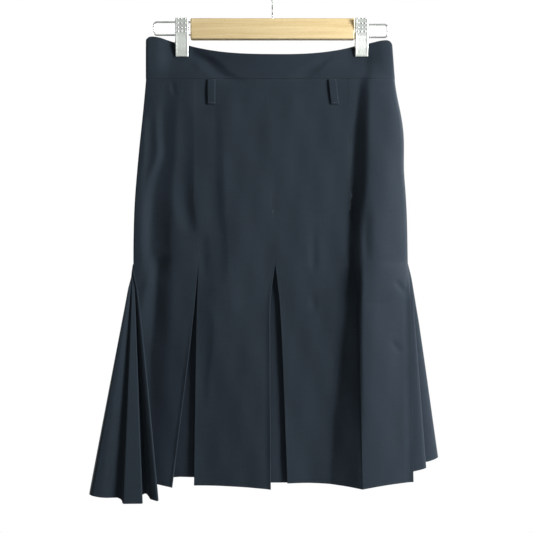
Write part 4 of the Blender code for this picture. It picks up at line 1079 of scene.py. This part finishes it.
class Grower(Nodes):
    """Geometry Nodes tree that grows a mesh along paths, with named sizes in millimetres or counts."""

    def __init__(self, name, **sizes):
        self.tree = bpy.data.node_groups.new(name, "GeometryNodeTree")
        self.tree.interface.new_socket("Paths", in_out="INPUT", socket_type="NodeSocketGeometry")
        for size, value in sizes.items():
            kind = "NodeSocketInt" if isinstance(value, int) else "NodeSocketFloat"
            self.tree.interface.new_socket(size, in_out="INPUT", socket_type=kind).default_value = value
        self.tree.interface.new_socket("Material", in_out="INPUT", socket_type="NodeSocketMaterial")
        self.tree.interface.new_socket("Mesh", in_out="OUTPUT", socket_type="NodeSocketGeometry")
        self.given = self.tree.nodes.new("NodeGroupInput")
        self.curve = self.node("GeometryNodeMeshToCurve", {}, {"Mesh": self.size("Paths")})

    def size(self, name):
        return Signal(self.tree, self.given.outputs[name])

    def end(self, mesh):
        shaded = self.node("GeometryNodeSetShadeSmooth", {}, {"Geometry": mesh})
        real = self.node("GeometryNodeRealizeInstances", {}, {"Geometry": shaded})
        inputs = {"Geometry": real, "Material": self.size("Material")}
        painted = self.node("GeometryNodeSetMaterial", {}, inputs)
        self.tree.links.new(painted.socket, self.tree.nodes.new("NodeGroupOutput").inputs[0])
        return self

    def grow(self, name, paths, material, outs=None, **sizes):
        """Object grown along the paths; outs are the ways out from the surface that they lie on."""
        mesh = bpy.data.meshes.new(name)
        edges, first = [], 0
        for path in paths:
            edges += [(i, i + 1) for i in range(first, first + len(path) - 1)]
            first += len(path)
        mesh.from_pydata((np.concatenate(paths) * MM).tolist(), edges, [])
        if outs is not None:
            way_out = mesh.attributes.new("out", "FLOAT_VECTOR", "POINT")
            way_out.data.foreach_set("vector", np.concatenate(outs).ravel())
        obj = placed(name, mesh)
        grown = obj.modifiers.new("grow", "NODES")
        grown.node_group = self.tree
        for item in self.tree.interface.items_tree:
            if item.name == "Material":
                grown[item.identifier] = material
            elif item.name in sizes:
                grown[item.identifier] = sizes[item.name]
        settle(obj)
        return obj


wire_tree = Grower("wire", Radius=1.0, Sides=18)
wire_round = wire_tree.node("GeometryNodeCurvePrimitiveCircle", {},
                            {"Resolution": wire_tree.size("Sides"), "Radius": wire_tree.size("Radius") * MM})
wire_tree.end(wire_tree.node("GeometryNodeCurveToMesh", {},
                             {"Curve": wire_tree.curve, "Profile Curve": wire_round, "Fill Caps": True}))


def plated(name, colour, rough, metallic=1.0, grime=(0.30, 0.30, 0.29, 1.0)):
    """Bright plating over steel, with fine draw marks, cloudy wear and a few dull spots."""
    metal = Finish(name, Metallic=metallic)
    cloud = metal.noise(metal.place(), 90.0, 4.0, 0.6)
    drawn = metal.noise(metal.stretched(3000.0, 3000.0, 160.0), 1.0, 2.0)
    spots = metal.spread(metal.noise(metal.place(), 420.0, 3.0, 0.7), 0.62, 0.74)
    worn = metal.mix(metal.spread(cloud, 0.3, 0.75), colour, tuple(0.86 * c for c in colour[:3]) + (1.0,))
    worn = metal.mix(spots * 0.3, worn, grime)
    roughness = metal.spread(cloud * 0.7 + drawn * 0.3, 0.3, 0.75, rough, rough + 0.16) + spots * 0.15
    return metal.finish(worn, roughness, drawn * 0.5 - spots * 0.4, 0.00003, 0.5)


nickel = plated("bright_plated_wire", (0.74, 0.76, 0.74, 1.0), 0.2, 0.75)


def arc(centre, radius, first, last, steps):
    """Points of an arc in the hanger's plane, as x and depth; angles run from +X towards the hook."""
    angles = np.linspace(first, last, steps + 1)
    return [(centre[0] + radius * math.cos(a), centre[1] - radius * math.sin(a)) for a in angles]


def in_plane(points):
    return np.array([(x, 0.0, -depth) for x, depth in points])


bend = arc((0.0, HOOK_INSIDE), HOOK_INSIDE + HOOK_WIRE, HOOK_LEAVES, HOOK_TIP, 60)
leave, leaves = np.array(bend[0]), np.array([math.sin(HOOK_LEAVES), math.cos(HOOK_LEAVES)])
neck = []
for t in np.linspace(0.0, 1.0, 25)[:-1]:
    pull = NECK_PULL * (SHANK_TOP - leave[1])
    start, up = np.array([0.0, SHANK_TOP]), np.array([0.0, -pull])
    weights = hermite(t)
    neck.append(tuple(weights[0] * start + weights[1] * up + weights[2] * leave + weights[3] * leaves * pull))
shank = [(0.0, BAR_DEPTHS[0] + SHANK_BORE - BORE_SPARE), (0.0, BAR_DEPTHS[0])]
hook = wire_tree.grow("bent_hook", [in_plane(shank + neck + bend)], nickel, Radius=HOOK_WIRE)
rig.ride(hook, "skirt")
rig.replaces(hook, "hanger_hook")
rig.slot(hook, "steel")

for name, (end, legs) in WIRE_LOOPS.items():
    way, bar_end = (-1.0, BAR_ENDS[0]) if end < 0 else (1.0, BAR_ENDS[1])
    root, corner = bar_end - way * (WIRE_BORE - BORE_SPARE), end - way * WIRE_BEND
    path = [(root, legs[0])]
    for leg, turn in ((legs[0] + WIRE_BEND, (math.pi / 2, 0.0)), (legs[1] - WIRE_BEND, (0.0, -math.pi / 2))):
        path += [(corner + way * x, leg + down) for x, down in arc((0, 0), WIRE_BEND, *turn, 10)]
    path += [(root, legs[1])]
    loop = wire_tree.grow("bent_" + name, [in_plane(path)], nickel, Radius=WIRE)
    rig.ride(loop, "skirt")
    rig.replaces(loop, name)
    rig.slot(loop, "steel")

# ---------------------------------------------------------------------------------------------------------
# Clips. Each is two pressed-steel jaws with raised rims, hinged on the lower wire of a loop by cheeks that
# are folded back over it, studded where fingers press them, and sprung shut by a coil round the wire.

CLIP_HALF, CLIP_LIP, LIP_FLARE, JAW_PLATE, JAW_ROUND = 8.6, 1.4, 0.5, 0.8, 0.35
FLANGE_TURN, FLANGE_START = 0.3, 0.75  # how far below the jaw's face a flange bends and then runs straight
CHEEK_HALF, CHEEK_REACH, CHEEK_EASE = 4.5, 1.55, 2.0  # the cheeks that go back over the wire
RIM_HIGH, RIM_WIDE, RIB_HIGH, RIB_PITCH, LIP_DEEP = 0.25, 1.5, 0.09, 1.5, 2.6
STUD_COLUMNS, STUD_ROWS, STUD_LAST = (-5.2, 0.0, 5.2), (91.8, 95.9, 100.0, 104.1), 108.9
COIL, COIL_WIRE, COIL_TURNS, COIL_HALF, COIL_LEG = 2.3, 0.45, 8, 4.6, 13.0
# Depths down a jaw, and how far its middle stands off the hanger's plane there
JAW_DEPTHS = (91.0, 96.0, 104.0, 110.0, 122.0, 132.0, 140.0, 145.0)
JAW_OUTS = (12.0, 10.8, 8.6, 7.3, 6.3, 5.6, 4.2, 3.15)


def jaw_out(depth):
    return through(JAW_DEPTHS, JAW_OUTS, depth)


def jaw_relief(x, depth):
    """Raised rims down both sides, a lip across the end and fine ribs between them."""
    rim = bell((np.abs(x) - CLIP_HALF + RIM_WIDE * 0.55) / RIM_WIDE)
    lip = bell((JAW_DEPTHS[-1] - 0.4 * LIP_DEEP - depth) / LIP_DEEP)
    ribbed = smooth((depth - STUD_LAST - 4.0) / 4.0) * (1.0 - np.maximum(rim, lip))
    return np.maximum(rim, lip) * RIM_HIGH + ribbed * RIB_HIGH * np.cos(2.0 * math.pi * x / RIB_PITCH)


steel_clip = plated("plated_clip", (0.93, 0.95, 0.93, 1.0), 0.4, 0.72)
flat_across = np.linspace(-CLIP_HALF, CLIP_HALF, 58)
stud_slope = (jaw_out(101.0) - jaw_out(94.0)) / 7.0
stud_paths, stud_outs, long_paths, long_outs, coil_paths = [], [], [], [], []
for side, clip_x in zip(("left", "right"), CLIP_X):
    leg = WIRE_LOOPS["wire_loop_" + side][1][1]
    for face, facing in (("front", FRONT), ("back", BACK)):
        middle = []
        for depth in spaced(JAW_DEPTHS[0], JAW_DEPTHS[-1], 0.7, JAW_ROUND):
            out = float(jaw_out(depth))
            cheek = float(smooth((CHEEK_HALF + CHEEK_EASE - abs(depth - leg)) / CHEEK_EASE))
            reach = max(out - CLIP_LIP, JAW_OUTS[-1] - 0.2) * (1.0 - cheek) + CHEEK_REACH * cheek
            lifts = out + jaw_relief(flat_across, depth)
            straight = lifts[0] - FLANGE_START
            row = [(x, lift) for x, lift in zip(flat_across, lifts)]
            for way in (-1.0, 1.0):
                edge = way * (CLIP_HALF + LIP_FLARE)
                flange = [(way * (CLIP_HALF + 0.8 * LIP_FLARE), lifts[0] - FLANGE_TURN)]
                flange += [(edge, straight - (straight - reach) * t) for t in np.linspace(0.0, 1.0, 5)]
                row = flange[::-1] + row if way < 0 else row + flange
            row = [(clip_x + x, facing * lift, -depth) for x, lift in row]
            middle.append(row if facing == FRONT else row[::-1])
        jaw = cloth_shell(f"jaw_{face}_{side}", np.array(middle), JAW_PLATE, steel_clip, edge=JAW_ROUND)
        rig.ride(jaw, "skirt")
        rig.replaces(jaw, f"clip_{face}_{side}")
        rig.slot(jaw, "steel")
        studs = ((STUD_ROWS, stud_paths, stud_outs), ((STUD_LAST, STUD_LAST + 0.01), long_paths, long_outs))
        for column in STUD_COLUMNS:
            for rows, paths, outs in studs:
                path = [(clip_x + column, facing * (jaw_out(d) + JAW_PLATE / 2), -d) for d in rows]
                paths.append(np.array(path))
                outs.append(np.array([(0.0, facing, -stud_slope)] * len(rows)))
    turns = np.linspace(0.0, 1.0, COIL_TURNS * 16 + 1)
    angles = math.pi * 0.75 + turns * 2.0 * math.pi * (COIL_TURNS + 0.25)
    x = clip_x + COIL_HALF * (2.0 * turns - 1.0)
    coil = np.stack([x, COIL * np.cos(angles), COIL * np.sin(angles) - leg], -1)
    for place, way in ((0, 1.0), (-1, -1.0)):
        angle = angles[place]
        run = np.array([0.0, math.sin(angle), -math.cos(angle)]) * way
        end = coil[place] + run * COIL_LEG
        coil = np.vstack([end, coil]) if place == 0 else np.vstack([coil, end])
    coil_paths.append(coil)
spring_wire = plated("spring_wire", (0.20, 0.20, 0.20, 1.0), 0.35)
coils = wire_tree.grow("clip_springs", coil_paths, spring_wire, Radius=COIL_WIRE, Sides=8)
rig.ride(coils, "skirt")
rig.slot(coils, "steel")

# Beads along a path, each a flattened ball that is turned by an angle and a random spread
bead_tree = Grower("bead", Length=1.0, Width=1.0, Height=1.0, Turn=0.0, Spread=0.0, Spacing=1.0, Seed=7,
                   Around=8, Over=6)
bead_curve = bead_tree.node("GeometryNodeResampleCurve", {"mode": "LENGTH"},
                            {"Curve": bead_tree.curve, "Length": bead_tree.size("Spacing") * MM})
ball = bead_tree.node("GeometryNodeMeshUVSphere", {}, {
    "Segments": bead_tree.size("Around"), "Rings": bead_tree.size("Over"), "Radius": 0.5 * MM})
shape = bead_tree.node("ShaderNodeCombineXYZ", {}, {
    "X": bead_tree.size("Length"), "Y": bead_tree.size("Width"), "Z": bead_tree.size("Height") * 2.0})
ball = bead_tree.node("GeometryNodeTransform", {}, {"Geometry": ball, "Scale": shape})
out_way = bead_tree.node("GeometryNodeInputNamedAttribute", {"data_type": "FLOAT_VECTOR"}, {"Name": "out"})
facing_out = bead_tree.node("FunctionNodeAlignRotationToVector", {"axis": "Z"}, {"Vector": out_way})
tangent = bead_tree.node("GeometryNodeInputTangent")
along_path = bead_tree.node("FunctionNodeAlignRotationToVector", {"axis": "X", "pivot_axis": "Z"},
                            {"Rotation": facing_out, "Vector": tangent})
jitter = bead_tree.node("FunctionNodeRandomValue", {}, {
    2: bead_tree.size("Spread") * -1.0, 3: bead_tree.size("Spread"), "Seed": bead_tree.size("Seed")}, 1)
swing = bead_tree.node("FunctionNodeAxisAngleToRotation", {}, {
    "Axis": (0.0, 0.0, 1.0), "Angle": bead_tree.size("Turn") + jitter})
turned = bead_tree.node("FunctionNodeRotateRotation", {"rotation_space": "LOCAL"},
                        {"Rotation": along_path, "Rotate By": swing})
bead_tree.end(bead_tree.node("GeometryNodeInstanceOnPoints", {},
                             {"Points": bead_curve, "Instance": ball, "Rotation": turned}))
for name, paths, outs, sizes in (
    ("clip_studs", stud_paths, stud_outs, {"Length": 2.3, "Width": 2.9, "Height": 0.75, "Spacing": 4.3}),
    ("clip_long_studs", long_paths, long_outs, {"Length": 4.6, "Width": 2.4, "Height": 0.55, "Spacing": 4.3}),
):
    studs = bead_tree.grow(name, paths, steel_clip, outs, **sizes)
    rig.ride(studs, "skirt")
    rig.slot(studs, "steel")

# ---------------------------------------------------------------------------------------------------------
# Zip. Narrow herringbone tape of polyester sewn inside the centre-back seam, a nylon coil along it, and a
# cast zinc slider whose pull hangs outside from a pin between two ears.

ZIP_TOP, ZIP_END, TAPE, TAPE_HALF, TAPE_PLATE, TAPE_ROUND = 147.0, 340.0, 1.0, 12.0, 0.7, 0.3
TAPE_RIB, TAPE_WEFT = 0.003, 0.0007  # width of the tape's ribs and pitch of its weft, in metres
TOOTH_SPACING, COIL_START, COIL_END, TAPE_SEWN, ROOM_BEHIND = 1.15, 159.0, 333.0, 9.6, 1.0
SLIDER_TOP, SLIDER_MIDDLE, SLIDER_PLATE, SLIDER_HALF = 150.0, 153.0, 1.0, 2.4
NECK_HALF, NECK_TOP, NECK_END, NECK_OFF, PIN_DEPTH, PIN, PIN_INSET = 0.5, 151.0, 155.0, 1.6, 152.0, 0.7, 0.45
EYE, RING, EAR, EAR_OVER, RING_HALF, SUNK = 1.0, 1.7, 0.9, 0.4, 1.2, 0.5
PULL_LENGTH, PULL_HALF, PULL_THICK, PULL_HOLE, HOLE_UP = 15.0, 2.3, 1.2, 0.9, 2.6
BODY_HALF, BODY_PLATE, BODY_OFF = 3.6, 1.1, 1.9


def centre_back(depth):
    """Place of the cloth's middle at the centre back."""
    if depth > SEAM:
        return float(gore_surface("back_centre_right", 1.0, depth)[1])
    top = -float(band_surface("back_centre_right", 1.0, 0.0)[2])
    return float(band_surface("back_centre_right", 1.0, (depth - top) / (SEAM - top))[1])


def herringbone(name, dark, light):
    """Ribs that turn back on themselves every couple of millimetres across the tape."""
    tape = Finish(name, Roughness=0.75, Sheen_Weight=0.1, Specular_IOR_Level=0.3)
    grain = tape.node("ShaderNodeUVMap", {"uv_map": "grain"})
    across, down = tape.part(grain, "X") / TAPE_RIB, tape.part(grain, "Y") / TAPE_WEFT
    turn = ((across % 1.0) - 0.5).math("ABSOLUTE") * 4.0
    rib = ((down + turn) * math.pi).math("SINE").math("ABSOLUTE")
    fuzz = tape.noise(grain, 700.0, 3.0, 0.7)
    colour = tape.mix(tape.spread(rib * 0.6 + fuzz * 0.5, 0.2, 1.0), dark, light)
    return tape.finish(colour, tape.spread(fuzz, 0.3, 0.7, 0.68, 0.82), rib + fuzz * 0.5, 0.00012, 0.7)


def tape_middle(depth):
    return centre_back(depth) - ROOM_BEHIND - LAYER_GAP - TAPE / 2


rows = []
for depth in spaced(ZIP_TOP, ZIP_END, 2.0, TAPE_ROUND):
    y = tape_middle(depth)
    rows.append([(x, y, -depth) for x in spaced(-TAPE_HALF, TAPE_HALF, 1.5, TAPE_ROUND)[::-1]])
ribbed_tape = herringbone("navy_tape", NAVY_DARK, NAVY_LIGHT)
tape = cloth_shell("woven_tape", np.array(rows), TAPE_PLATE, ribbed_tape, edge=TAPE_ROUND)
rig.ride(tape, "skirt")
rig.replaces(tape, "zip_tape")
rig.slot(tape, "tape")
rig.sheet(tape, flat=(2.0 * TAPE_HALF * MM, (ZIP_END - ZIP_TOP) * MM), held="hung",
         rests_on=["cloth_waistband_back_left", "cloth_waistband_back_right"])


def down_tape(x, first, last, step=2.0):
    """Path down the tape's inner face, with the way out from it."""
    depths = np.arange(first, last, step)
    path = [(x, tape_middle(d) - TAPE_PLATE / 2, -d) for d in depths]
    return np.array(path), np.array([(0.0, -1.0, 0.0)] * len(depths))


nylon = Finish("nylon_coil", Roughness=0.35, Specular_IOR_Level=0.5)
nylon_tone = nylon.spread(nylon.noise(nylon.place(), 500.0, 2.0), 0.3, 0.7)
nylon_colour = nylon.mix(nylon_tone, (0.012, 0.016, 0.026, 1.0), (0.024, 0.032, 0.048, 1.0))
nylon.finish(nylon_colour, nylon.spread(nylon_tone, 0.0, 1.0, 0.3, 0.45), nylon_tone, 0.00004, 0.4)
path, outs = down_tape(0.0, COIL_START, COIL_END)
teeth = bead_tree.grow("zip_teeth", [path], nylon.material, [outs],
                       Length=0.8, Width=4.4, Height=0.85, Spacing=TOOTH_SPACING)
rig.ride(teeth, "skirt")
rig.slot(teeth, "tape")

plate = centre_back(SLIDER_TOP) + ROOM_BEHIND + LAYER_GAP
pin_y = plate + SLIDER_PLATE + LAYER_GAP + RING
cast = plated("cast_slider", (0.34, 0.345, 0.35, 1.0), 0.32)


def shield(half_widths, depths, first_y, last_y, round_off):
    """Rings down a plate of varying width with round edges."""
    rings = []
    for half_width, depth in zip(half_widths, depths):
        ring = rounded(half_width, (last_y - first_y) / 2, min(round_off, 0.95 * half_width), 4)
        rings.append([(x, (first_y + last_y) / 2 + y, -depth) for x, y in ring])
    return np.array(rings)


def joined(name, parts, material, sharp=35.0):
    """One object of several closed skins."""
    mesh = bmesh.new()
    for number, rings in enumerate(parts):
        part = skin(f"part_{number}", rings, material, sharp)
        mesh.from_mesh(part.data)
        bpy.data.objects.remove(part)
    obj = smooth_mesh(name, [(0.0, 0.0, 0.0)], [], material)
    mesh.to_mesh(obj.data)
    mesh.free()
    tidy(obj, sharp)
    return obj


def barrel(radius, first_x, last_x, centre_y, depth, steps=20):
    """Rings of a short rod that lies across the body, with eased ends."""
    rings = []
    for x, r in ((first_x, 0.82), (first_x + 0.12, 1.0), (last_x - 0.12, 1.0), (last_x, 0.82)):
        r *= radius
        rings.append([(x, centre_y + r * math.cos(a), r * math.sin(a) - depth) for a in circle(steps)])
    return np.array(rings)


tops = np.array([0.0, 0.35, 1.0, 2.2, 4.5, 6.0, 6.7, 7.0]) + SLIDER_TOP
body_y = centre_back(SLIDER_MIDDLE) - BODY_OFF - BODY_PLATE
plate_halves = SLIDER_HALF * np.array([0.72, 0.9, 0.98, 1.0, 1.0, 0.93, 0.82, 0.62])
body_halves = BODY_HALF * np.array([0.6, 0.9, 1.0, 1.0, 0.85, 0.7, 0.6, 0.45])
pin_half = SLIDER_HALF - PIN_INSET * EAR
parts = [
    shield(plate_halves, tops, plate, plate + SLIDER_PLATE, 0.4),
    shield([NECK_HALF] * 2, [NECK_TOP, NECK_END], centre_back(SLIDER_MIDDLE) - NECK_OFF, plate + SUNK, 0.15),
    shield(body_halves, tops, body_y, body_y + BODY_PLATE, 0.4),
    barrel(PIN, -pin_half, pin_half, pin_y, PIN_DEPTH),
]
for side in (-1.0, 1.0):
    angles = np.linspace(0.0, math.pi, 13)
    outline = [(plate + SUNK, RING), (plate + SUNK, -RING)]
    outline += [(pin_y + (PIN + EAR_OVER) * math.sin(a), -RING * math.cos(a)) for a in angles]
    parts.append(np.array([[(x, y, z - PIN_DEPTH) for y, z in outline]
                           for x in (side * SLIDER_HALF, side * (SLIDER_HALF - EAR))]))
slider = joined("cast_zip_slider", parts, cast)
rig.ride(slider, "skirt")
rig.replaces(slider, "zip_slider")
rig.slot(slider, "steel")

thick = (pin_y - PULL_THICK / 2, pin_y + PULL_THICK / 2)
drops = np.array([0.0, 1.6, 2.6, 3.4, 4.4, 6.0, 9.0, 12.0, 13.6, 14.5, 14.9, 15.0])
drops = drops / drops[-1] * PULL_LENGTH + PIN_DEPTH
widths = np.array([0.5, 0.5, 0.52, 0.66, 0.8, 0.88, 0.96, 1.0, 0.95, 0.8, 0.62, 0.45]) * PULL_HALF
pull = joined("cast_zip_pull", [barrel(RING, -RING_HALF, RING_HALF, pin_y, PIN_DEPTH, 28)], cast)
combine(pull, joined("tab", [shield(widths, drops, *thick, 0.35)], cast), "UNION")
bore(pull, (-PULL_HALF, pin_y, -PIN_DEPTH), (PULL_HALF, pin_y, -PIN_DEPTH), EYE)
hole_z = -PIN_DEPTH - PULL_LENGTH + HOLE_UP
bore(pull, (0.0, pin_y - 2.0, hole_z), (0.0, pin_y + 2.0, hole_z), PULL_HOLE)
tidy(pull)
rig.ride(pull, "zip_pull")
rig.replaces(pull, "zip_pull")
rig.slot(pull, "steel")

# ---------------------------------------------------------------------------------------------------------
# Stitching. Navy polyester thread: bar tacks at the foot of each belt loop, the band sunk-stitched along its
# seam, the tape sewn down both sides and the hem caught up inside.

thread = Finish("navy_thread", Sheen_Weight=0.15, Specular_IOR_Level=0.4)
twist = (thread.place("X") + thread.place("Z") + thread.place("Y")) / 0.00025
ply = (twist * math.pi).math("SINE").math("ABSOLUTE")
thread_tone = thread.spread(ply + thread.noise(thread.place(), 300.0, 2.0), 0.4, 1.6)
thread_colour = thread.mix(thread_tone, (0.012, 0.017, 0.027, 1.0), (0.03, 0.041, 0.06, 1.0))
thread.finish(thread_colour, thread.spread(ply, 0.0, 1.0, 0.45, 0.7), ply, 0.00006, 0.6)


def along_sheet(name, from_end, off, ends=2.0, from_top=False):
    """Path across a sheet a little way from its end, off its middle, with the way out on that side."""
    middle, outward = SURFACES[name]
    below = distance_in(middle, 0)[0]
    column = (below if from_top else below[-1:] - below)[:, middle.shape[1] // 2]
    row = int(np.argmin(np.abs(column - from_end)))
    along = distance_in(middle[row:row + 1], 1)[1][0]
    inside = along > ends
    return (middle[row] + outward[row] * off)[inside], outward[row][inside] * math.copysign(1.0, off)


HEMS = (*GORES, *GODETS, *SIDE_GODETS)
Stitch = namedtuple("Stitch", "Length Width Height Turn Spacing Spread")
STITCHES = {
    # name: the sheets sewn, how far from their end, off their middle, and the stitch
    "bar_tacks": (LOOPS, 1.9, 0.62, Stitch(2.2, 0.5, 0.22, math.pi / 2, 0.55, 0.06)),
    "sunk_stitches": (GORES, 0.0, 0.12, Stitch(2.0, 0.36, 0.2, 0.0, 2.5, 0.05)),
    "hem_catch": (HEMS, HEM_DEEP, -0.55, Stitch(5.0, 0.4, 0.2, 0.8, 5.0, 0.15)),
    "hem_catch_back": (HEMS, HEM_DEEP, -0.6, Stitch(5.0, 0.4, 0.2, -0.8, 5.0, 0.15)),
    "tape_stitches": (None, 3.0, TAPE_SEWN, Stitch(2.2, 0.45, 0.2, 0.0, 2.8, 0.04)),
}
for name, (sheets, from_end, off, stitch) in STITCHES.items():
    if sheets is None:
        sewn = [down_tape(x, ZIP_TOP + from_end, ZIP_END - from_end) for x in (-off, off)]
    else:
        sewn = [along_sheet("cloth_" + sheet, from_end, off, from_top=sheets is GORES) for sheet in sheets]
    paths, outs = zip(*sewn)
    row = bead_tree.grow(name, paths, thread.material, outs, Around=6, Over=4, **stitch._asdict())
    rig.ride(row, "skirt")
    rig.slot(row, "cloth")

# ---------------------------------------------------------------------------------------------------------
# Floor, light and camera: a pale floor, a broad soft light from the right and the camera level with the
# middle of the skirt.

FLOOR_RADIUS, FLOOR_LEVEL, FLOOR_SIDES = 0.55, -1.3, 64  # metres, here and below
floor_mesh = bpy.data.meshes.new("floor")
rim = [(FLOOR_RADIUS * math.cos(a), FLOOR_RADIUS * math.sin(a), FLOOR_LEVEL) for a in circle(FLOOR_SIDES)]
floor_mesh.from_pydata(rim, [], [tuple(range(FLOOR_SIDES))])
floor_mesh.materials.append(Finish("pale_floor", Base_Color=(0.86, 0.86, 0.85, 1.0), Roughness=0.9).material)
floor = placed("floor", floor_mesh)
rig.stage(floor)

bpy.context.scene.view_settings.view_transform = "Standard"
world = bpy.data.worlds.new("studio")
bpy.context.scene.world = world
world.use_nodes = True
sky = world.node_tree
fill = sky.nodes["Background"]
fill.inputs["Color"].default_value = (0.95, 1.0, 0.94, 1.0)
fill.inputs["Strength"].default_value = 0.05
white = sky.nodes.new("ShaderNodeBackground")
white.inputs["Color"].default_value = (1.0, 1.0, 1.0, 1.0)
seen = sky.nodes.new("ShaderNodeLightPath")
both = sky.nodes.new("ShaderNodeMixShader")
sky.links.new(seen.outputs["Is Camera Ray"], both.inputs[0])
sky.links.new(fill.outputs[0], both.inputs[1])
sky.links.new(white.outputs[0], both.inputs[2])
sky.links.new(both.outputs[0], sky.nodes["World Output"].inputs["Surface"])

AIM = Vector((0.0, 0.0, -0.45))
LIGHTS = (
    # name, place, size, power, colour
    ("window", (1.95, -1.05, 0.1), 0.7, 98.0, (0.985, 1.0, 0.985)),
    ("ceiling", (0.2, -0.9, 1.6), 1.4, 7.0, (0.97, 1.0, 0.94)),
    ("front", (-0.9, -2.7, 0.1), 2.6, 8.0, (0.97, 1.0, 0.92)),
    ("left_wall", (-1.5, 0.8, -0.3), 1.0, 25.0, (0.97, 1.0, 0.98)),
    ("right_wall", (1.6, 0.62, 0.1), 1.0, 40.0, (0.97, 1.0, 0.98)),
    ("back", (0.3, 2.6, 0.3), 2.0, 20.0, (0.97, 0.98, 1.0)),
)
for name, place, size, power, colour in LIGHTS:
    lamp = bpy.data.lights.new(name, "AREA")
    lamp.shape, lamp.size, lamp.energy, lamp.color = "DISK", size, power, colour
    obj = placed(name, lamp)
    obj.location = place
    obj.visible_camera = False
    obj.rotation_euler = (AIM - Vector(place)).to_track_quat("-Z", "Y").to_euler()

lens = bpy.data.cameras.new("camera")
lens.lens, lens.sensor_width = 74.53, 36.0
camera = placed("camera", lens)
camera.location = (-0.0092, -1.6, -0.4488)
camera.rotation_euler = (math.radians(90.0), 0.0, 0.0)
bpy.context.scene.camera = camera

with open("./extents.json", "w") as sizes:
    json.dump({"cad": [list(corner) for corner in cad_box], "visual": [list(corner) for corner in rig.bounds()]}, sizes)
